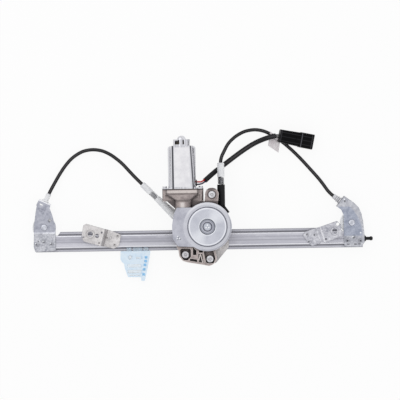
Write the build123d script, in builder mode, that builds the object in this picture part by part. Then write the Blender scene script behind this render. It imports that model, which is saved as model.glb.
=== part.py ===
from build123d import *
import os
from math import cos, pi, radians, sin, tan

os.makedirs("parts", exist_ok=True)

# Power window regulator with one rail and two Bowden cables. It lies on its back:
# +X runs along the rail, +Y across it to the motor, +Z points out of its front face,
# and Z = 0 is the surface it lies on. The origin is under the middle of the whole part.

# ---------------------------------------------------------------- clearances
running_gap = 0.05      # radial, a shaft in its bearing
moving_gap = 0.4        # between pieces that pass each other
screw_gap = 0.3         # radial, a screw in a plain hole

# ---------------------------------------------------------------- sheet stock
rail_sheet = 1.2
bracket_sheet = 1.5
mount_sheet = 2.0
plate_sheet = 1.8
cover_sheet = 1.2
can_wall = 1.6

# ---------------------------------------------------------------- cables and pulleys
wire_radius = 0.75
conduit_radius = 2.45
conduit_bore = 1.05     # radius of the liner's bore
pulley_cable_radius = 14.5
pulley_radius = 16.1
pulley_thickness = 7.6
pulley_bore = 4.0
rivet_head_height = 1.5
rivet_head_radius = 6.0
left_pulley_x, right_pulley_x = -224.1, 208.1
pulley_y = -28.5

# ---------------------------------------------------------------- heights, back to front
pulley_low = rivet_head_height + moving_gap
cable_height = pulley_low + pulley_thickness / 2
web_back = pulley_low + pulley_thickness + moving_gap
web_front = web_back + rail_sheet
plate_front = web_front + plate_sheet
drum_housing_depth = 13.0
gear_back = plate_front + drum_housing_depth
gear_case_depth = 20.0
cover_back = gear_back + gear_case_depth
drum_cable_height = plate_front + drum_housing_depth / 2
motor_lift = 0.5        # the motor's axis above the middle of its case
motor_height = gear_back + gear_case_depth / 2 + motor_lift

# ---------------------------------------------------------------- rail
rail_y = -49.2
rail_left, rail_right = -236.4, 223.6
rail_web_width = 18.6
rail_width = 28.2
rail_depth = 8.2
rail_bend = 1.5
groove_depth, groove_half = 0.4, 1.3
groove_offsets = (-1.3, 3.2)
lip_cut_left, lip_cut_right = -201.5, 191.0
lip_back = web_front - rail_depth
lip_front = lip_back + rail_sheet
wall_outer = rail_web_width / 2
wall_inner = wall_outer - rail_sheet
lip_edge = rail_width / 2

# ---------------------------------------------------------------- drum, gear train
gear_x, gear_y = 5.2, -30.6
drum_cable_radius = 20.0
module = 1.0
wheel_teeth = 58
wheel_pitch_radius = module * wheel_teeth / 2
worm_pitch_radius = 5.2
worm_x = gear_x - wheel_pitch_radius - worm_pitch_radius
wheel_face = 8.0
backlash = 0.7
pressure_angle = 20.0
spindle_radius = 4.0
case_radius = 33.2
gear_room = wheel_pitch_radius + module + 0.8

# ---------------------------------------------------------------- screws
screw_radius = 3.0
screw_points = ((12.0, 14.1), (-26.1, -69.3), (8.1, -75.5))
screw_head_heights = (42.0, 31.5, 34.5)
screw_head_radius, screw_head_height = 4.7, 4.2

# ---------------------------------------------------------------- cable lines at the drum
left_line_angle = 135.5
left_tangent = Vector(
    gear_x + drum_cable_radius * cos(radians(left_line_angle + 90)),
    gear_y + drum_cable_radius * sin(radians(left_line_angle + 90)),
    drum_cable_height,
)
left_line = Vector(cos(radians(left_line_angle)), sin(radians(left_line_angle)), 0)
right_tangent = Vector(gear_x + drum_cable_radius, gear_y, drum_cable_height)
right_line = Vector(0, 1, 0)
left_sleeve_end = 79.0
left_tube_start, left_tube_end = 90.0, 107.0
left_tube_radius, left_spring_radius = 4.3, 4.15
right_sleeve_end = 58.4
right_tube_start, right_tube_end = 69.4, 89.0
right_tube_radius, right_spring_radius = 4.95, 4.7
right_sleeve_radius = 5.4
stem_radius = 2.3
sleeve_bore = stem_radius + 0.2
spring_wire_radius = 0.55
spring_turns = 6

# ---------------------------------------------------------------- cable lines at the pulleys
left_fitting_angle, left_fitting_reach = 63.5, 33.6
right_fitting_angle, right_fitting_reach = 142.0, 31.2


def tangent_line(centre_x, angle, side):
    """Where a straight cable leaves a pulley, and its direction."""
    normal = radians(angle + side * 90)
    start = Vector(
        centre_x + pulley_cable_radius * cos(normal),
        pulley_y + pulley_cable_radius * sin(normal),
        cable_height,
    )
    return start, Vector(cos(radians(angle)), sin(radians(angle)), 0)


left_leave, left_up = tangent_line(left_pulley_x, left_fitting_angle, 1)
right_leave, right_up = tangent_line(right_pulley_x, right_fitting_angle, -1)
left_flange_point = left_leave + left_up * left_fitting_reach
right_flange_point = right_leave + right_up * right_fitting_reach

# ---------------------------------------------------------------- motor
motor_x = worm_x
can_radius = 19.4
can_flat = 30.0
can_low, can_high = 22.6, 82.6
cap_radius, cap_high = 11.6, 91.4
cap_dome_high = 96.6
shaft_radius = 3.0
flange_high = can_low

# ---------------------------------------------------------------- carriage
carriage_back = 0.6
carriage_front = 9.3


def facing(start, direction, distance=0.0):
    """A plane across a line, a distance along it."""
    return Plane(origin=start + direction * distance, x_dir=(0, 0, 1), z_dir=direction)


def corner_radii(route):
    """The arc at each corner of a route: as large as its two runs allow."""
    radii = []
    for before, corner, after in zip(route, route[1:], route[2:]):
        first, second = Vector(*corner) - Vector(*before), Vector(*after) - Vector(*corner)
        turn = first.get_angle(second)
        radii.append(0.45 * min(first.length, second.length) / tan(radians(turn / 2)))
    return radii


def bent_sheet(points, bend, thickness):
    """A bent sheet seen edge-on, drawn along its middle line."""
    with BuildSketch() as profile:
        with BuildLine():
            FilletPolyline(*points, radius=bend)
        trace(line_width=thickness)
    return profile.sketch


def rounded_outline(points, corner):
    """A flat shape with rounded corners."""
    with BuildSketch() as shape:
        with BuildLine():
            FilletPolyline(*points, radius=corner, close=True)
        make_face()
    return shape.sketch


def turned(points):
    """A profile to revolve, from its radii and heights."""
    with BuildSketch() as shape:
        with BuildLine():
            Polyline(*points, close=True)
        make_face()
    return shape.sketch


# ================================================================ rail
wall_middle = wall_outer - rail_sheet / 2
lip_middle, web_middle = lip_back + rail_sheet / 2, web_front - rail_sheet / 2
lip_cut_slant = 5.0

with BuildPart() as rail:
    with BuildSketch(Plane.YZ.offset(rail_left)):
        add(
            bent_sheet(
                [
                    (rail_y - lip_edge, lip_middle),
                    (rail_y - wall_middle, lip_middle),
                    (rail_y - wall_middle, web_middle),
                    (rail_y + wall_middle, web_middle),
                    (rail_y + wall_middle, lip_middle),
                    (rail_y + lip_edge, lip_middle),
                ],
                rail_bend,
                rail_sheet,
            )
        )
    extrude(amount=rail_right - rail_left)
    # two shallow grooves rolled along the web
    for groove in groove_offsets:
        with BuildSketch(Plane.YZ.offset(rail_left)):
            with Locations((rail_y + groove, web_front)):
                Rectangle(2 * groove_half, 2 * groove_depth)
        extrude(amount=rail_right - rail_left, mode=Mode.SUBTRACT)
    # the upper wall and lip are cut away at both ends for the pulleys
    upper_low = rail_y + wall_inner - 0.6
    upper_high = rail_y + lip_edge + moving_gap
    for end, inner, slant in (
        (rail_left, lip_cut_left, -lip_cut_slant),
        (rail_right, lip_cut_right, lip_cut_slant),
    ):
        with BuildSketch(Plane.XY):
            add(
                turned(
                    [
                        (end + slant, upper_low),
                        (inner + slant, upper_low),
                        (inner, upper_high),
                        (end + slant, upper_high),
                    ]
                )
            )
        extrude(amount=web_back, mode=Mode.SUBTRACT)
rail.part.label = "rail"
export_step(rail.part, "parts/rail.step")

# ================================================================ end brackets
joggle_y = rail_y + wall_outer + 4.0
joggle_run = 1.2
neck_radius = 3.0
collar_radius, inner_collar_radius = 4.8, 3.4
flange_width = 18.0
flange_low_z = 1.0
clinch_radius, clinch_height = 2.3, 0.5
fixing_hole_radius = 2.5
left_fixing_hole = (-215.9, -18.5)
rail_surface_middle = web_front + bracket_sheet / 2
pulley_surface_middle = web_back + bracket_sheet / 2


def joggled_sheet():
    """The brackets' side view: flat on the rail, then stepped back to the pulley."""
    return bent_sheet(
        [
            (rail_y - 2 * lip_edge, rail_surface_middle),
            (joggle_y - joggle_run, rail_surface_middle),
            (joggle_y + joggle_run, pulley_surface_middle),
            (joggle_y + 4 * lip_edge, pulley_surface_middle),
        ],
        bracket_sheet,
        bracket_sheet,
    )


def flange_plane(point, up):
    """A plane across the bent flange: x runs along the cable and y upwards."""
    side = Vector(up.Y, -up.X, 0)
    corner = Vector(point.X, point.Y, 0) - side * (flange_width / 2)
    return Plane(origin=corner, x_dir=up, z_dir=side)


def flange_corner(point, up, across):
    """A corner of the flat plate where the flange bends away."""
    corner = point - up * bracket_sheet + Vector(up.Y, -up.X, 0) * (across * flange_width / 2)
    return (corner.X, corner.Y)


def bent_flange():
    """The flange's section, from the bracket's plate and bent to the back."""
    return bent_sheet(
        [
            (-10.0, pulley_surface_middle),
            (-bracket_sheet / 2, pulley_surface_middle),
            (-bracket_sheet / 2, flange_low_z),
        ],
        bracket_sheet,
        bracket_sheet,
    )


def fitting_slot():
    """The slot that the conduit's end fitting slides into from the back."""
    with BuildSketch() as slot:
        Circle(neck_radius + running_gap)
        with Locations((-cable_height / 2, 0)):
            Rectangle(cable_height, 2 * (neck_radius + running_gap))
    return slot.sketch


left_bracket_outline = [
    flange_corner(left_flange_point, left_up, -1),
    (-233.8, 2.7),
    (-235.8, -8.0),
    (-237.9, -24.0),
    (-238.9, -55.3),
    (-236.7, -62.6),
    (-208.1, -61.6),
    (-207.9, -24.4),
    (-210.2, -20.0),
    (-212.2, -11.9),
    (-215.9, -1.5),
    flange_corner(left_flange_point, left_up, 1),
]
left_clinches = [(-233.4, -52.6), (-224.6, -47.6), (-213.4, -51.5)]

with BuildPart() as left_end_bracket:
    with BuildSketch(Plane.YZ.offset(left_pulley_x - 2 * pulley_radius)):
        add(joggled_sheet())
    extrude(amount=4 * pulley_radius)
    with BuildSketch(Plane.XY):
        add(rounded_outline(left_bracket_outline, 1.0))
    extrude(amount=gear_back, mode=Mode.INTERSECT)
    with BuildSketch(flange_plane(left_flange_point, left_up)):
        add(bent_flange())
    extrude(amount=flange_width)
    with BuildSketch(facing(left_flange_point, left_up, -2 * bracket_sheet)):
        add(fitting_slot())
    extrude(amount=3 * bracket_sheet, mode=Mode.SUBTRACT)
    with BuildSketch(Plane.XY.offset(web_front + bracket_sheet)):
        with Locations(*left_clinches):
            Circle(clinch_radius)
            Circle(clinch_radius / 2, mode=Mode.SUBTRACT)
    extrude(amount=clinch_height)
    # a pressed V that stiffens the ear beside the flange
    with BuildSketch(Plane.XY.offset(web_back + bracket_sheet)):
        with Locations(Location((-224.5, -5.0), left_fitting_angle)):
            Rectangle(9.0, 2.2)
        with Locations(Location((-228.5, -3.5), 90 + left_fitting_angle)):
            Rectangle(7.0, 2.2)
    extrude(amount=clinch_height)
    with BuildSketch(Plane.XY):
        with Locations((left_pulley_x, pulley_y)):
            Circle(neck_radius)
        with Locations(left_fixing_hole):
            Circle(fixing_hole_radius)
        with Locations(Location((-227.6, 4.0), left_fitting_angle - 90)):
            SlotOverall(5.0, 1.6)
    extrude(amount=gear_back, mode=Mode.SUBTRACT)
left_end_bracket.part.label = "left_end_bracket"
export_step(left_end_bracket.part, "parts/left_end_bracket.step")

right_bracket_outline = [
    flange_corner(right_flange_point, right_up, -1),
    flange_corner(right_flange_point, right_up, 1),
    (211.4, -0.4),
    (218.2, -7.4),
    (221.9, -16.3),
    (224.2, -30.0),
    (225.4, -43.8),
    (225.2, -56.5),
    (221.2, -62.6),
    (197.4, -62.2),
    (196.6, -56.0),
    (196.9, -17.7),
    (193.4, -10.0),
]
right_clinches = [(201.9, -53.6), (210.6, -47.8), (219.2, -53.9)]
end_tab_width, end_tab_low = 11.0, 2.6
end_tab_gap = 0.85
pin_y, pin_height = -51.1, 6.9
pin_neck_radius = 2.2

with BuildPart() as right_end_bracket:
    with BuildSketch(Plane.YZ.offset(right_pulley_x - 2 * pulley_radius)):
        add(joggled_sheet())
    extrude(amount=4 * pulley_radius)
    with BuildSketch(Plane.XY):
        add(rounded_outline(right_bracket_outline, 1.0))
    extrude(amount=gear_back, mode=Mode.INTERSECT)
    with BuildSketch(flange_plane(right_flange_point, right_up)):
        add(bent_flange())
    extrude(amount=flange_width)
    with BuildSketch(facing(right_flange_point, right_up, -2 * bracket_sheet)):
        add(fitting_slot())
    extrude(amount=3 * bracket_sheet, mode=Mode.SUBTRACT)
    # the tab bent back past the rail's end, which carries the end pin
    with BuildSketch(Plane.XZ.offset(-pin_y - end_tab_width / 2)):
        add(
            bent_sheet(
                [
                    (rail_right - 6.0, rail_surface_middle),
                    (rail_right + end_tab_gap + bracket_sheet / 2, rail_surface_middle),
                    (rail_right + end_tab_gap + bracket_sheet / 2, end_tab_low),
                ],
                bracket_sheet,
                bracket_sheet,
            )
        )
    extrude(amount=end_tab_width)
    with BuildSketch(Plane.XY.offset(web_front + bracket_sheet)):
        with Locations(*right_clinches):
            Circle(clinch_radius)
            Circle(clinch_radius / 2, mode=Mode.SUBTRACT)
    extrude(amount=clinch_height)
    with BuildSketch(Plane.XY):
        with Locations((right_pulley_x, pulley_y)):
            Circle(neck_radius)
        with Locations((202.6, -58.6), (212.5, -58.7), (218.2, -58.4)):
            SlotOverall(4.0, 1.4)
    extrude(amount=gear_back, mode=Mode.SUBTRACT)
    with BuildSketch(Plane.YZ.offset(rail_right)):
        with Locations((pin_y, pin_height)):
            Circle(pin_neck_radius)
    extrude(amount=4 * bracket_sheet, mode=Mode.SUBTRACT)
right_end_bracket.part.label = "right_end_bracket"
export_step(right_end_bracket.part, "parts/right_end_bracket.step")

# ---------------------------------------------------------------- the black pin at the rail's end
pin_root = rail_right + end_tab_gap
pin_tip = 237.4
with BuildPart() as end_pin:
    with BuildSketch(Plane.XY):
        add(
            turned(
                [
                    (pin_root - 1.4, 0),
                    (pin_root - 1.4, 2.6),
                    (pin_root, 3.2),
                    (pin_root, pin_neck_radius),
                    (pin_root + bracket_sheet, pin_neck_radius),
                    (pin_root + bracket_sheet, 3.9),
                    (pin_root + bracket_sheet + 1.8, 3.9),
                    (pin_root + bracket_sheet + 1.8, 2.3),
                    (pin_tip - 4.6, 2.3),
                    (pin_tip - 3.4, 2.9),
                    (pin_tip - 1.2, 2.9),
                    (pin_tip, 1.6),
                    (pin_tip, 0),
                ]
            )
        )
    revolve(axis=Axis.X)
end_pin = Pos(0, pin_y, pin_height) * end_pin.part
end_pin.label = "end_pin"
export_step(end_pin, "parts/end_pin.step")

# ================================================================ pulleys and their rivets
rim_inner = 11.6
hub_radius = 6.6
pulley_web = 3.4
groove_root = pulley_cable_radius - wire_radius - 0.3
groove_mouth, groove_floor_half = 1.9, 1.05
spokes = 6
half_pulley = pulley_thickness / 2

for side, pulley_x in (("left", left_pulley_x), ("right", right_pulley_x)):
    with BuildPart(Plane((pulley_x, pulley_y, cable_height))) as pulley:
        with BuildSketch(Plane((pulley_x, pulley_y, cable_height), x_dir=(1, 0, 0), z_dir=(0, -1, 0))):
            add(
                turned(
                    [
                        (pulley_bore + running_gap, -half_pulley),
                        (hub_radius, -half_pulley),
                        (hub_radius, -pulley_web / 2),
                        (rim_inner, -pulley_web / 2),
                        (rim_inner, -half_pulley),
                        (pulley_radius, -half_pulley),
                        (pulley_radius, -groove_mouth),
                        (groove_root, -groove_floor_half),
                        (groove_root, groove_floor_half),
                        (pulley_radius, groove_mouth),
                        (pulley_radius, half_pulley),
                        (rim_inner, half_pulley),
                        (rim_inner, pulley_web / 2),
                        (hub_radius, pulley_web / 2),
                        (hub_radius, half_pulley),
                        (pulley_bore + running_gap, half_pulley),
                    ]
                )
            )
        revolve(axis=Axis((pulley_x, pulley_y, 0), (0, 0, 1)))
        with BuildSketch(Plane((pulley_x, pulley_y, pulley_low))):
            with PolarLocations((hub_radius + rim_inner) / 2, spokes):
                Rectangle(rim_inner - hub_radius + 0.6, 1.4)
        extrude(amount=pulley_thickness)
    pulley.part.label = f"{side}_pulley"
    export_step(pulley.part, f"parts/{side}_pulley.step")

    with BuildPart() as rivet:
        with BuildSketch(Plane((pulley_x, pulley_y, 0), x_dir=(1, 0, 0), z_dir=(0, -1, 0))):
            add(
                turned(
                    [
                        (0, 0),
                        (rivet_head_radius - 0.6, 0),
                        (rivet_head_radius, 0.6),
                        (rivet_head_radius, rivet_head_height),
                        (pulley_bore, rivet_head_height),
                        (pulley_bore, web_back),
                        (neck_radius, web_back),
                        (neck_radius, web_back + bracket_sheet),
                        (4.6, web_back + bracket_sheet),
                        (4.2, web_back + bracket_sheet + 0.9),
                        (2.4, web_back + bracket_sheet + 1.4),
                        (0, web_back + bracket_sheet + 1.4),
                    ]
                )
            )
        revolve(axis=Axis((pulley_x, pulley_y, 0), (0, 0, 1)))
    rivet.part.label = f"{side}_pulley_rivet"
    export_step(rivet.part, f"parts/{side}_pulley_rivet.step")

# ================================================================ conduit end fittings
barrel_radius, barrel_length = 3.5, 12.0
collar_length = 2.0
socket_depth = 8.0

for side, point, up in (
    ("left", left_flange_point, left_up),
    ("right", right_flange_point, right_up),
):
    with BuildPart() as fitting:
        with BuildSketch(facing(point, up, -bracket_sheet - collar_length)):
            Circle(inner_collar_radius)
        extrude(amount=collar_length)
        with BuildSketch(facing(point, up, -bracket_sheet)):
            Circle(neck_radius)
        extrude(amount=bracket_sheet)
        with BuildSketch(facing(point, up)):
            Circle(collar_radius)
        extrude(amount=collar_length)
        with BuildSketch(facing(point, up, collar_length)):
            Circle(barrel_radius)
        extrude(amount=barrel_length - collar_length)
        if side == "right":
            with BuildSketch(facing(point, up, collar_length + 1.6)):
                Circle(collar_radius - 0.4)
            extrude(amount=1.6)
        with BuildSketch(facing(point, up, -bracket_sheet - collar_length)):
            Circle(conduit_bore)
        extrude(amount=barrel_length + bracket_sheet + collar_length, mode=Mode.SUBTRACT)
        with BuildSketch(facing(point, up, barrel_length - socket_depth)):
            Circle(conduit_radius)
        extrude(amount=socket_depth, mode=Mode.SUBTRACT)
    fitting.part.label = f"{side}_conduit_fitting"
    export_step(fitting.part, f"parts/{side}_conduit_fitting.step")

# ================================================================ mounting brackets to the door
pad_front = 26.0
pad_middle, foot_middle = pad_front - mount_sheet / 2, web_front + mount_sheet / 2
mount_bend = 3.0
mount_depth = 40.0
left_mount_hole, left_mount_angle = (-158.6, -38.4), -16.0
right_mount_hole, right_mount_angle = (183.0, -39.8), 18.0
mount_hole_radius = 3.5
left_locating_hole, locating_hole_radius = (9.8, 0.0), 2.8
right_through_hole, right_through_radius = (187.4, -30.1), 2.3
weld_radius, weld_height = 1.7, 0.5


def along_bracket(hole, angle):
    """An upright plane along a mounting bracket, its x along the bracket."""
    turn = radians(angle)
    return Plane(
        origin=(hole[0], hole[1], 0),
        x_dir=(cos(turn), sin(turn), 0),
        z_dir=(sin(turn), -cos(turn), 0),
    )


def over_bracket(hole, angle, height=0.0):
    """A level plane with its x along the bracket."""
    turn = radians(angle)
    return Plane(origin=(hole[0], hole[1], height), x_dir=(cos(turn), sin(turn), 0), z_dir=(0, 0, 1))


with BuildPart() as left_mounting_bracket:
    with BuildSketch(along_bracket(left_mount_hole, left_mount_angle)):
        add(
            bent_sheet(
                [(-20.0, pad_middle), (17.6, pad_middle), (21.6, foot_middle), (50.0, foot_middle)],
                mount_bend,
                mount_sheet,
            )
        )
    extrude(amount=mount_depth / 2, both=True)
    with BuildSketch(over_bracket(left_mount_hole, left_mount_angle)):
        add(
            rounded_outline(
                [
                    (-9.3, 12.5),
                    (-12.6, 9.0),
                    (-10.9, -7.3),
                    (-5.9, -12.5),
                    (19.0, -12.5),
                    (36.9, -11.6),
                    (42.8, -5.9),
                    (41.6, 10.1),
                    (24.9, 12.0),
                ],
                1.5,
            )
        )
    extrude(amount=pad_front, mode=Mode.INTERSECT)
    with BuildSketch(over_bracket(left_mount_hole, left_mount_angle)):
        Circle(mount_hole_radius)
        with Locations(left_locating_hole):
            Circle(locating_hole_radius)
        with Locations((14.8, 6.2), (-9.2, -6.6)):
            Circle(1.3)
    extrude(amount=pad_front, mode=Mode.SUBTRACT)
    # the seat pressed round the fixing hole, and the spot welds on the rail flange
    with BuildSketch(over_bracket(left_mount_hole, left_mount_angle, pad_front)):
        Circle(mount_hole_radius + 2.2)
        Circle(mount_hole_radius, mode=Mode.SUBTRACT)
    extrude(amount=weld_height)
    with BuildSketch(Plane.XY.offset(web_front + mount_sheet)):
        with Locations((-131.2, -44.4), (-121.0, -42.6), (-125.2, -55.0)):
            Circle(weld_radius)
    extrude(amount=weld_height)
left_mounting_bracket.part.label = "left_mounting_bracket"
export_step(left_mounting_bracket.part, "parts/left_mounting_bracket.step")

with BuildPart() as right_mounting_bracket:
    with BuildSketch(along_bracket(right_mount_hole, right_mount_angle)):
        add(
            bent_sheet(
                [(-50.0, foot_middle), (-21.4, foot_middle), (-17.2, pad_middle), (20.0, pad_middle)],
                mount_bend,
                mount_sheet,
            )
        )
    extrude(amount=mount_depth / 2, both=True)
    with BuildSketch(over_bracket(right_mount_hole, right_mount_angle)):
        add(
            rounded_outline(
                [
                    (-39.2, 12.1),
                    (-43.6, 8.4),
                    (-39.6, -4.5),
                    (-36.0, -10.0),
                    (-15.8, -10.4),
                    (7.7, -10.1),
                    (10.8, 6.3),
                    (7.7, 12.5),
                ],
                1.5,
            )
        )
    extrude(amount=pad_front, mode=Mode.INTERSECT)
    with BuildSketch(Plane.XY):
        with Locations(right_mount_hole):
            Circle(mount_hole_radius)
        with Locations(right_through_hole):
            Circle(right_through_radius)
        with Locations((170.6, -51.0)):
            Circle(1.6)
    extrude(amount=pad_front, mode=Mode.SUBTRACT)
    with BuildSketch(over_bracket(right_mount_hole, right_mount_angle, pad_front)):
        Circle(mount_hole_radius + 2.2)
        Circle(mount_hole_radius, mode=Mode.SUBTRACT)
    extrude(amount=weld_height)
    with BuildSketch(Plane.XY.offset(web_front + mount_sheet)):
        with Locations((145.6, -44.6), (149.0, -54.7), (156.6, -45.0)):
            Circle(weld_radius)
    extrude(amount=weld_height)
right_mounting_bracket.part.label = "right_mounting_bracket"
export_step(right_mounting_bracket.part, "parts/right_mounting_bracket.step")

# ================================================================ motor mounting plate
plate_outline = [
    (4.2, 22.0),
    (19.8, 22.0),
    (19.8, -2.0),
    (28.0, -9.5),
    (34.6, -20.0),
    (35.0, -59.8),
    (16.4, -82.0),
    (4.0, -83.6),
    (-23.0, -77.5),
    (-29.0, -76.8),
    (-33.6, -71.0),
    (-34.0, -60.0),
    (-38.0, -45.0),
    (-38.0, -20.0),
    (-24.0, -6.0),
    (4.2, -2.0),
]
nut_radius, nut_height = 5.0, 1.1
tapped_radius = screw_radius
with BuildPart() as motor_mounting_plate:
    with BuildSketch(Plane.XY.offset(web_front)):
        add(rounded_outline(plate_outline, 3.0))
        with Locations(*screw_points):
            Circle(screw_radius + screw_gap, mode=Mode.SUBTRACT)
    extrude(amount=plate_sheet)
motor_mounting_plate.part.label = "motor_mounting_plate"
export_step(motor_mounting_plate.part, "parts/motor_mounting_plate.step")

with BuildPart() as weld_nuts:
    with BuildSketch(Plane.XY.offset(web_front - nut_height)):
        with Locations(*screw_points):
            Circle(nut_radius)
            Circle(tapped_radius, mode=Mode.SUBTRACT)
    extrude(amount=nut_height)
weld_nuts.part.label = "weld_nuts"
export_step(weld_nuts.part, "parts/weld_nuts.step")

socket_radius, socket_depth_in_head = 2.3, 2.2
with BuildPart() as motor_screws:
    for point, seat in zip(screw_points, screw_head_heights):
        with BuildSketch(Plane.XY.offset(web_front - nut_height)):
            with Locations(point):
                Circle(screw_radius)
        extrude(amount=seat - web_front + nut_height)
        with BuildSketch(Plane.XY.offset(seat)):
            with Locations(point):
                Circle(screw_head_radius)
        extrude(amount=screw_head_height)
        with BuildSketch(Plane.XY.offset(seat + screw_head_height)):
            with Locations(point):
                RegularPolygon(socket_radius, 6)
        extrude(amount=-socket_depth_in_head, mode=Mode.SUBTRACT)
motor_screws.part.label = "motor_screws"
export_step(motor_screws.part, "parts/motor_screws.step")

# ================================================================ drum housing
drum_wall_outer, drum_room = 26.0, 23.1
drum_floor = 1.5
outlet_start, outlet_socket, outlet_end = 14.0, 20.0, 40.0
outlet_radius, spigot_radius = 5.6, 4.0
housing_boss_radius = 7.0
housing_arm = 9.0
right_sleeve_root = 12.0
stem_start_left, stem_start_right = 50.0, 34.0

with BuildPart() as drum_housing:
    with BuildSketch(Plane.XY.offset(plate_front)):
        for point in screw_points:
            with BuildLine():
                Line((gear_x, gear_y), point)
            trace(line_width=housing_arm)
        with Locations((gear_x, gear_y)):
            Circle(drum_wall_outer)
        with Locations(*screw_points):
            Circle(housing_boss_radius)
        # the foot that props the right sleeve against the wall
        with BuildLine():
            Polyline((29.5, -1.0), (36.5, -10.5), (33.6, -13.2), (25.0, -6.0), close=True)
        make_face()
    extrude(amount=drum_housing_depth)
    with BuildSketch(facing(left_tangent, left_line, outlet_start)):
        Circle(outlet_radius)
    extrude(amount=outlet_end - outlet_start)
    with BuildSketch(facing(right_tangent, right_line, right_sleeve_root)):
        Circle(right_sleeve_radius)
    extrude(amount=right_sleeve_end - right_sleeve_root)
    with BuildSketch(Plane.XY.offset(plate_front + drum_floor)):
        with Locations((gear_x, gear_y)):
            Circle(drum_room)
    extrude(amount=drum_housing_depth, mode=Mode.SUBTRACT)
    with BuildSketch(Plane.XY.offset(plate_front)):
        with Locations((gear_x, gear_y)):
            Circle(spindle_radius)
        with Locations(*screw_points):
            Circle(screw_radius + screw_gap)
    extrude(amount=drum_housing_depth, mode=Mode.SUBTRACT)
    with BuildSketch(facing(left_tangent, left_line)):
        Circle(conduit_bore)
    extrude(amount=outlet_end, mode=Mode.SUBTRACT)
    with BuildSketch(facing(left_tangent, left_line, outlet_socket)):
        Circle(spigot_radius)
    extrude(amount=outlet_end - outlet_socket, mode=Mode.SUBTRACT)
    with BuildSketch(facing(right_tangent, right_line)):
        Circle(conduit_bore)
    extrude(amount=right_sleeve_end, mode=Mode.SUBTRACT)
    with BuildSketch(facing(right_tangent, right_line, stem_start_right - 4.0)):
        Circle(sleeve_bore)
    extrude(amount=right_sleeve_end - stem_start_right + 4.0, mode=Mode.SUBTRACT)
drum_housing.part.label = "drum_housing"
export_step(drum_housing.part, "parts/drum_housing.step")

# ---------------------------------------------------------------- the white sleeve of the left outlet
sleeve_collar_radius, sleeve_tip_radius = 6.2, 4.4
sleeve_collar_end = 46.0
with BuildPart() as left_outlet_sleeve:
    with BuildSketch(facing(left_tangent, left_line, outlet_socket)):
        Circle(spigot_radius)
    extrude(amount=outlet_end - outlet_socket)
    with BuildSketch(facing(left_tangent, left_line, outlet_end)):
        Circle(sleeve_collar_radius)
    extrude(amount=sleeve_collar_end - outlet_end)
    with BuildSketch(facing(left_tangent, left_line, sleeve_collar_end)):
        Circle(sleeve_collar_radius)
    with BuildSketch(facing(left_tangent, left_line, left_sleeve_end)):
        Circle(sleeve_tip_radius)
    loft()
    with BuildSketch(facing(left_tangent, left_line, outlet_socket)):
        Circle(conduit_bore)
    extrude(amount=left_sleeve_end - outlet_socket, mode=Mode.SUBTRACT)
    with BuildSketch(facing(left_tangent, left_line, stem_start_left - 4.0)):
        Circle(sleeve_bore)
    extrude(amount=left_sleeve_end - stem_start_left + 4.0, mode=Mode.SUBTRACT)
left_outlet_sleeve.part.label = "left_outlet_sleeve"
export_step(left_outlet_sleeve.part, "parts/left_outlet_sleeve.step")

# ---------------------------------------------------------------- guide tubes that slide in the sleeves
tube_socket = 8.0
for side, start, line, stem_start, tube_start, tube_end, radius in (
    (
        "left", left_tangent, left_line, stem_start_left,
        left_tube_start, left_tube_end, left_tube_radius,
    ),
    (
        "right", right_tangent, right_line, stem_start_right,
        right_tube_start, right_tube_end, right_tube_radius,
    ),
):
    with BuildPart() as guide_tube:
        with BuildSketch(facing(start, line, stem_start)):
            Circle(stem_radius)
        extrude(amount=tube_start - stem_start)
        with BuildSketch(facing(start, line, tube_start)):
            Circle(radius)
        extrude(amount=tube_end - tube_start)
        chamfer(guide_tube.edges().filter_by(GeomType.CIRCLE).sort_by(Axis(start, line))[-1], 0.6)
        with BuildSketch(facing(start, line, stem_start)):
            Circle(conduit_bore)
        extrude(amount=tube_end - stem_start, mode=Mode.SUBTRACT)
        with BuildSketch(facing(start, line, tube_end - tube_socket)):
            Circle(conduit_radius)
        extrude(amount=tube_socket, mode=Mode.SUBTRACT)
    guide_tube.part.label = f"{side}_guide_tube"
    export_step(guide_tube.part, f"parts/{side}_guide_tube.step")

# ---------------------------------------------------------------- tension springs round the stems
for side, start, line, low, high, radius in (
    ("left", left_tangent, left_line, left_sleeve_end, left_tube_start, left_spring_radius),
    ("right", right_tangent, right_line, right_sleeve_end, right_tube_start, right_spring_radius),
):
    spring_height = high - low - 2 * spring_wire_radius
    with BuildPart() as spring:
        with BuildLine() as coil:
            Helix(
                pitch=spring_height / spring_turns,
                height=spring_height,
                radius=radius - spring_wire_radius,
                center=start + line * (low + spring_wire_radius),
                direction=line,
            )
        with BuildSketch(Plane(origin=coil.line @ 0, z_dir=coil.line % 0)):
            RegularPolygon(spring_wire_radius, 4)
        sweep(is_frenet=True)
    spring.part.label = f"{side}_tension_spring"
    export_step(spring.part, f"parts/{side}_tension_spring.step")

# ================================================================ gear housing
worm_side_outline = [
    (-37.0, -3.4),
    (-41.0, -12.0),
    (-43.9, -27.7),
    (-43.2, -45.9),
    (-36.4, -57.2),
    (-12.6, -58.3),
    (2.0, -50.0),
    (2.0, -8.0),
    (-17.0, -3.6),
]
lower_mount_outline = [
    (-38.5, -57.2),
    (-35.6, -63.0),
    (-34.5, -71.3),
    (-29.7, -77.6),
    (-23.4, -79.6),
    (-0.4, -83.6),
    (6.6, -85.2),
    (12.2, -83.2),
    (16.5, -79.1),
    (17.9, -75.0),
    (14.7, -58.0),
    (-12.0, -50.0),
    (-34.0, -50.0),
]
lower_mount_drop = 1.9
lower_mount_front = cover_back - lower_mount_drop
case_floor = 2.5
bearing_hole_radius = 7.9
tunnel_radius, tunnel_low = 7.2, -52.0
neck_width, neck_low, neck_high, neck_side = 23.4, -8.0, 6.6, 1.4
neck_height = 2 * (cover_back - motor_height)
neck_corner = 5.0
flange_body_low, flange_body_width, flange_body_height = 14.6, 43.0, 30.0
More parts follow.
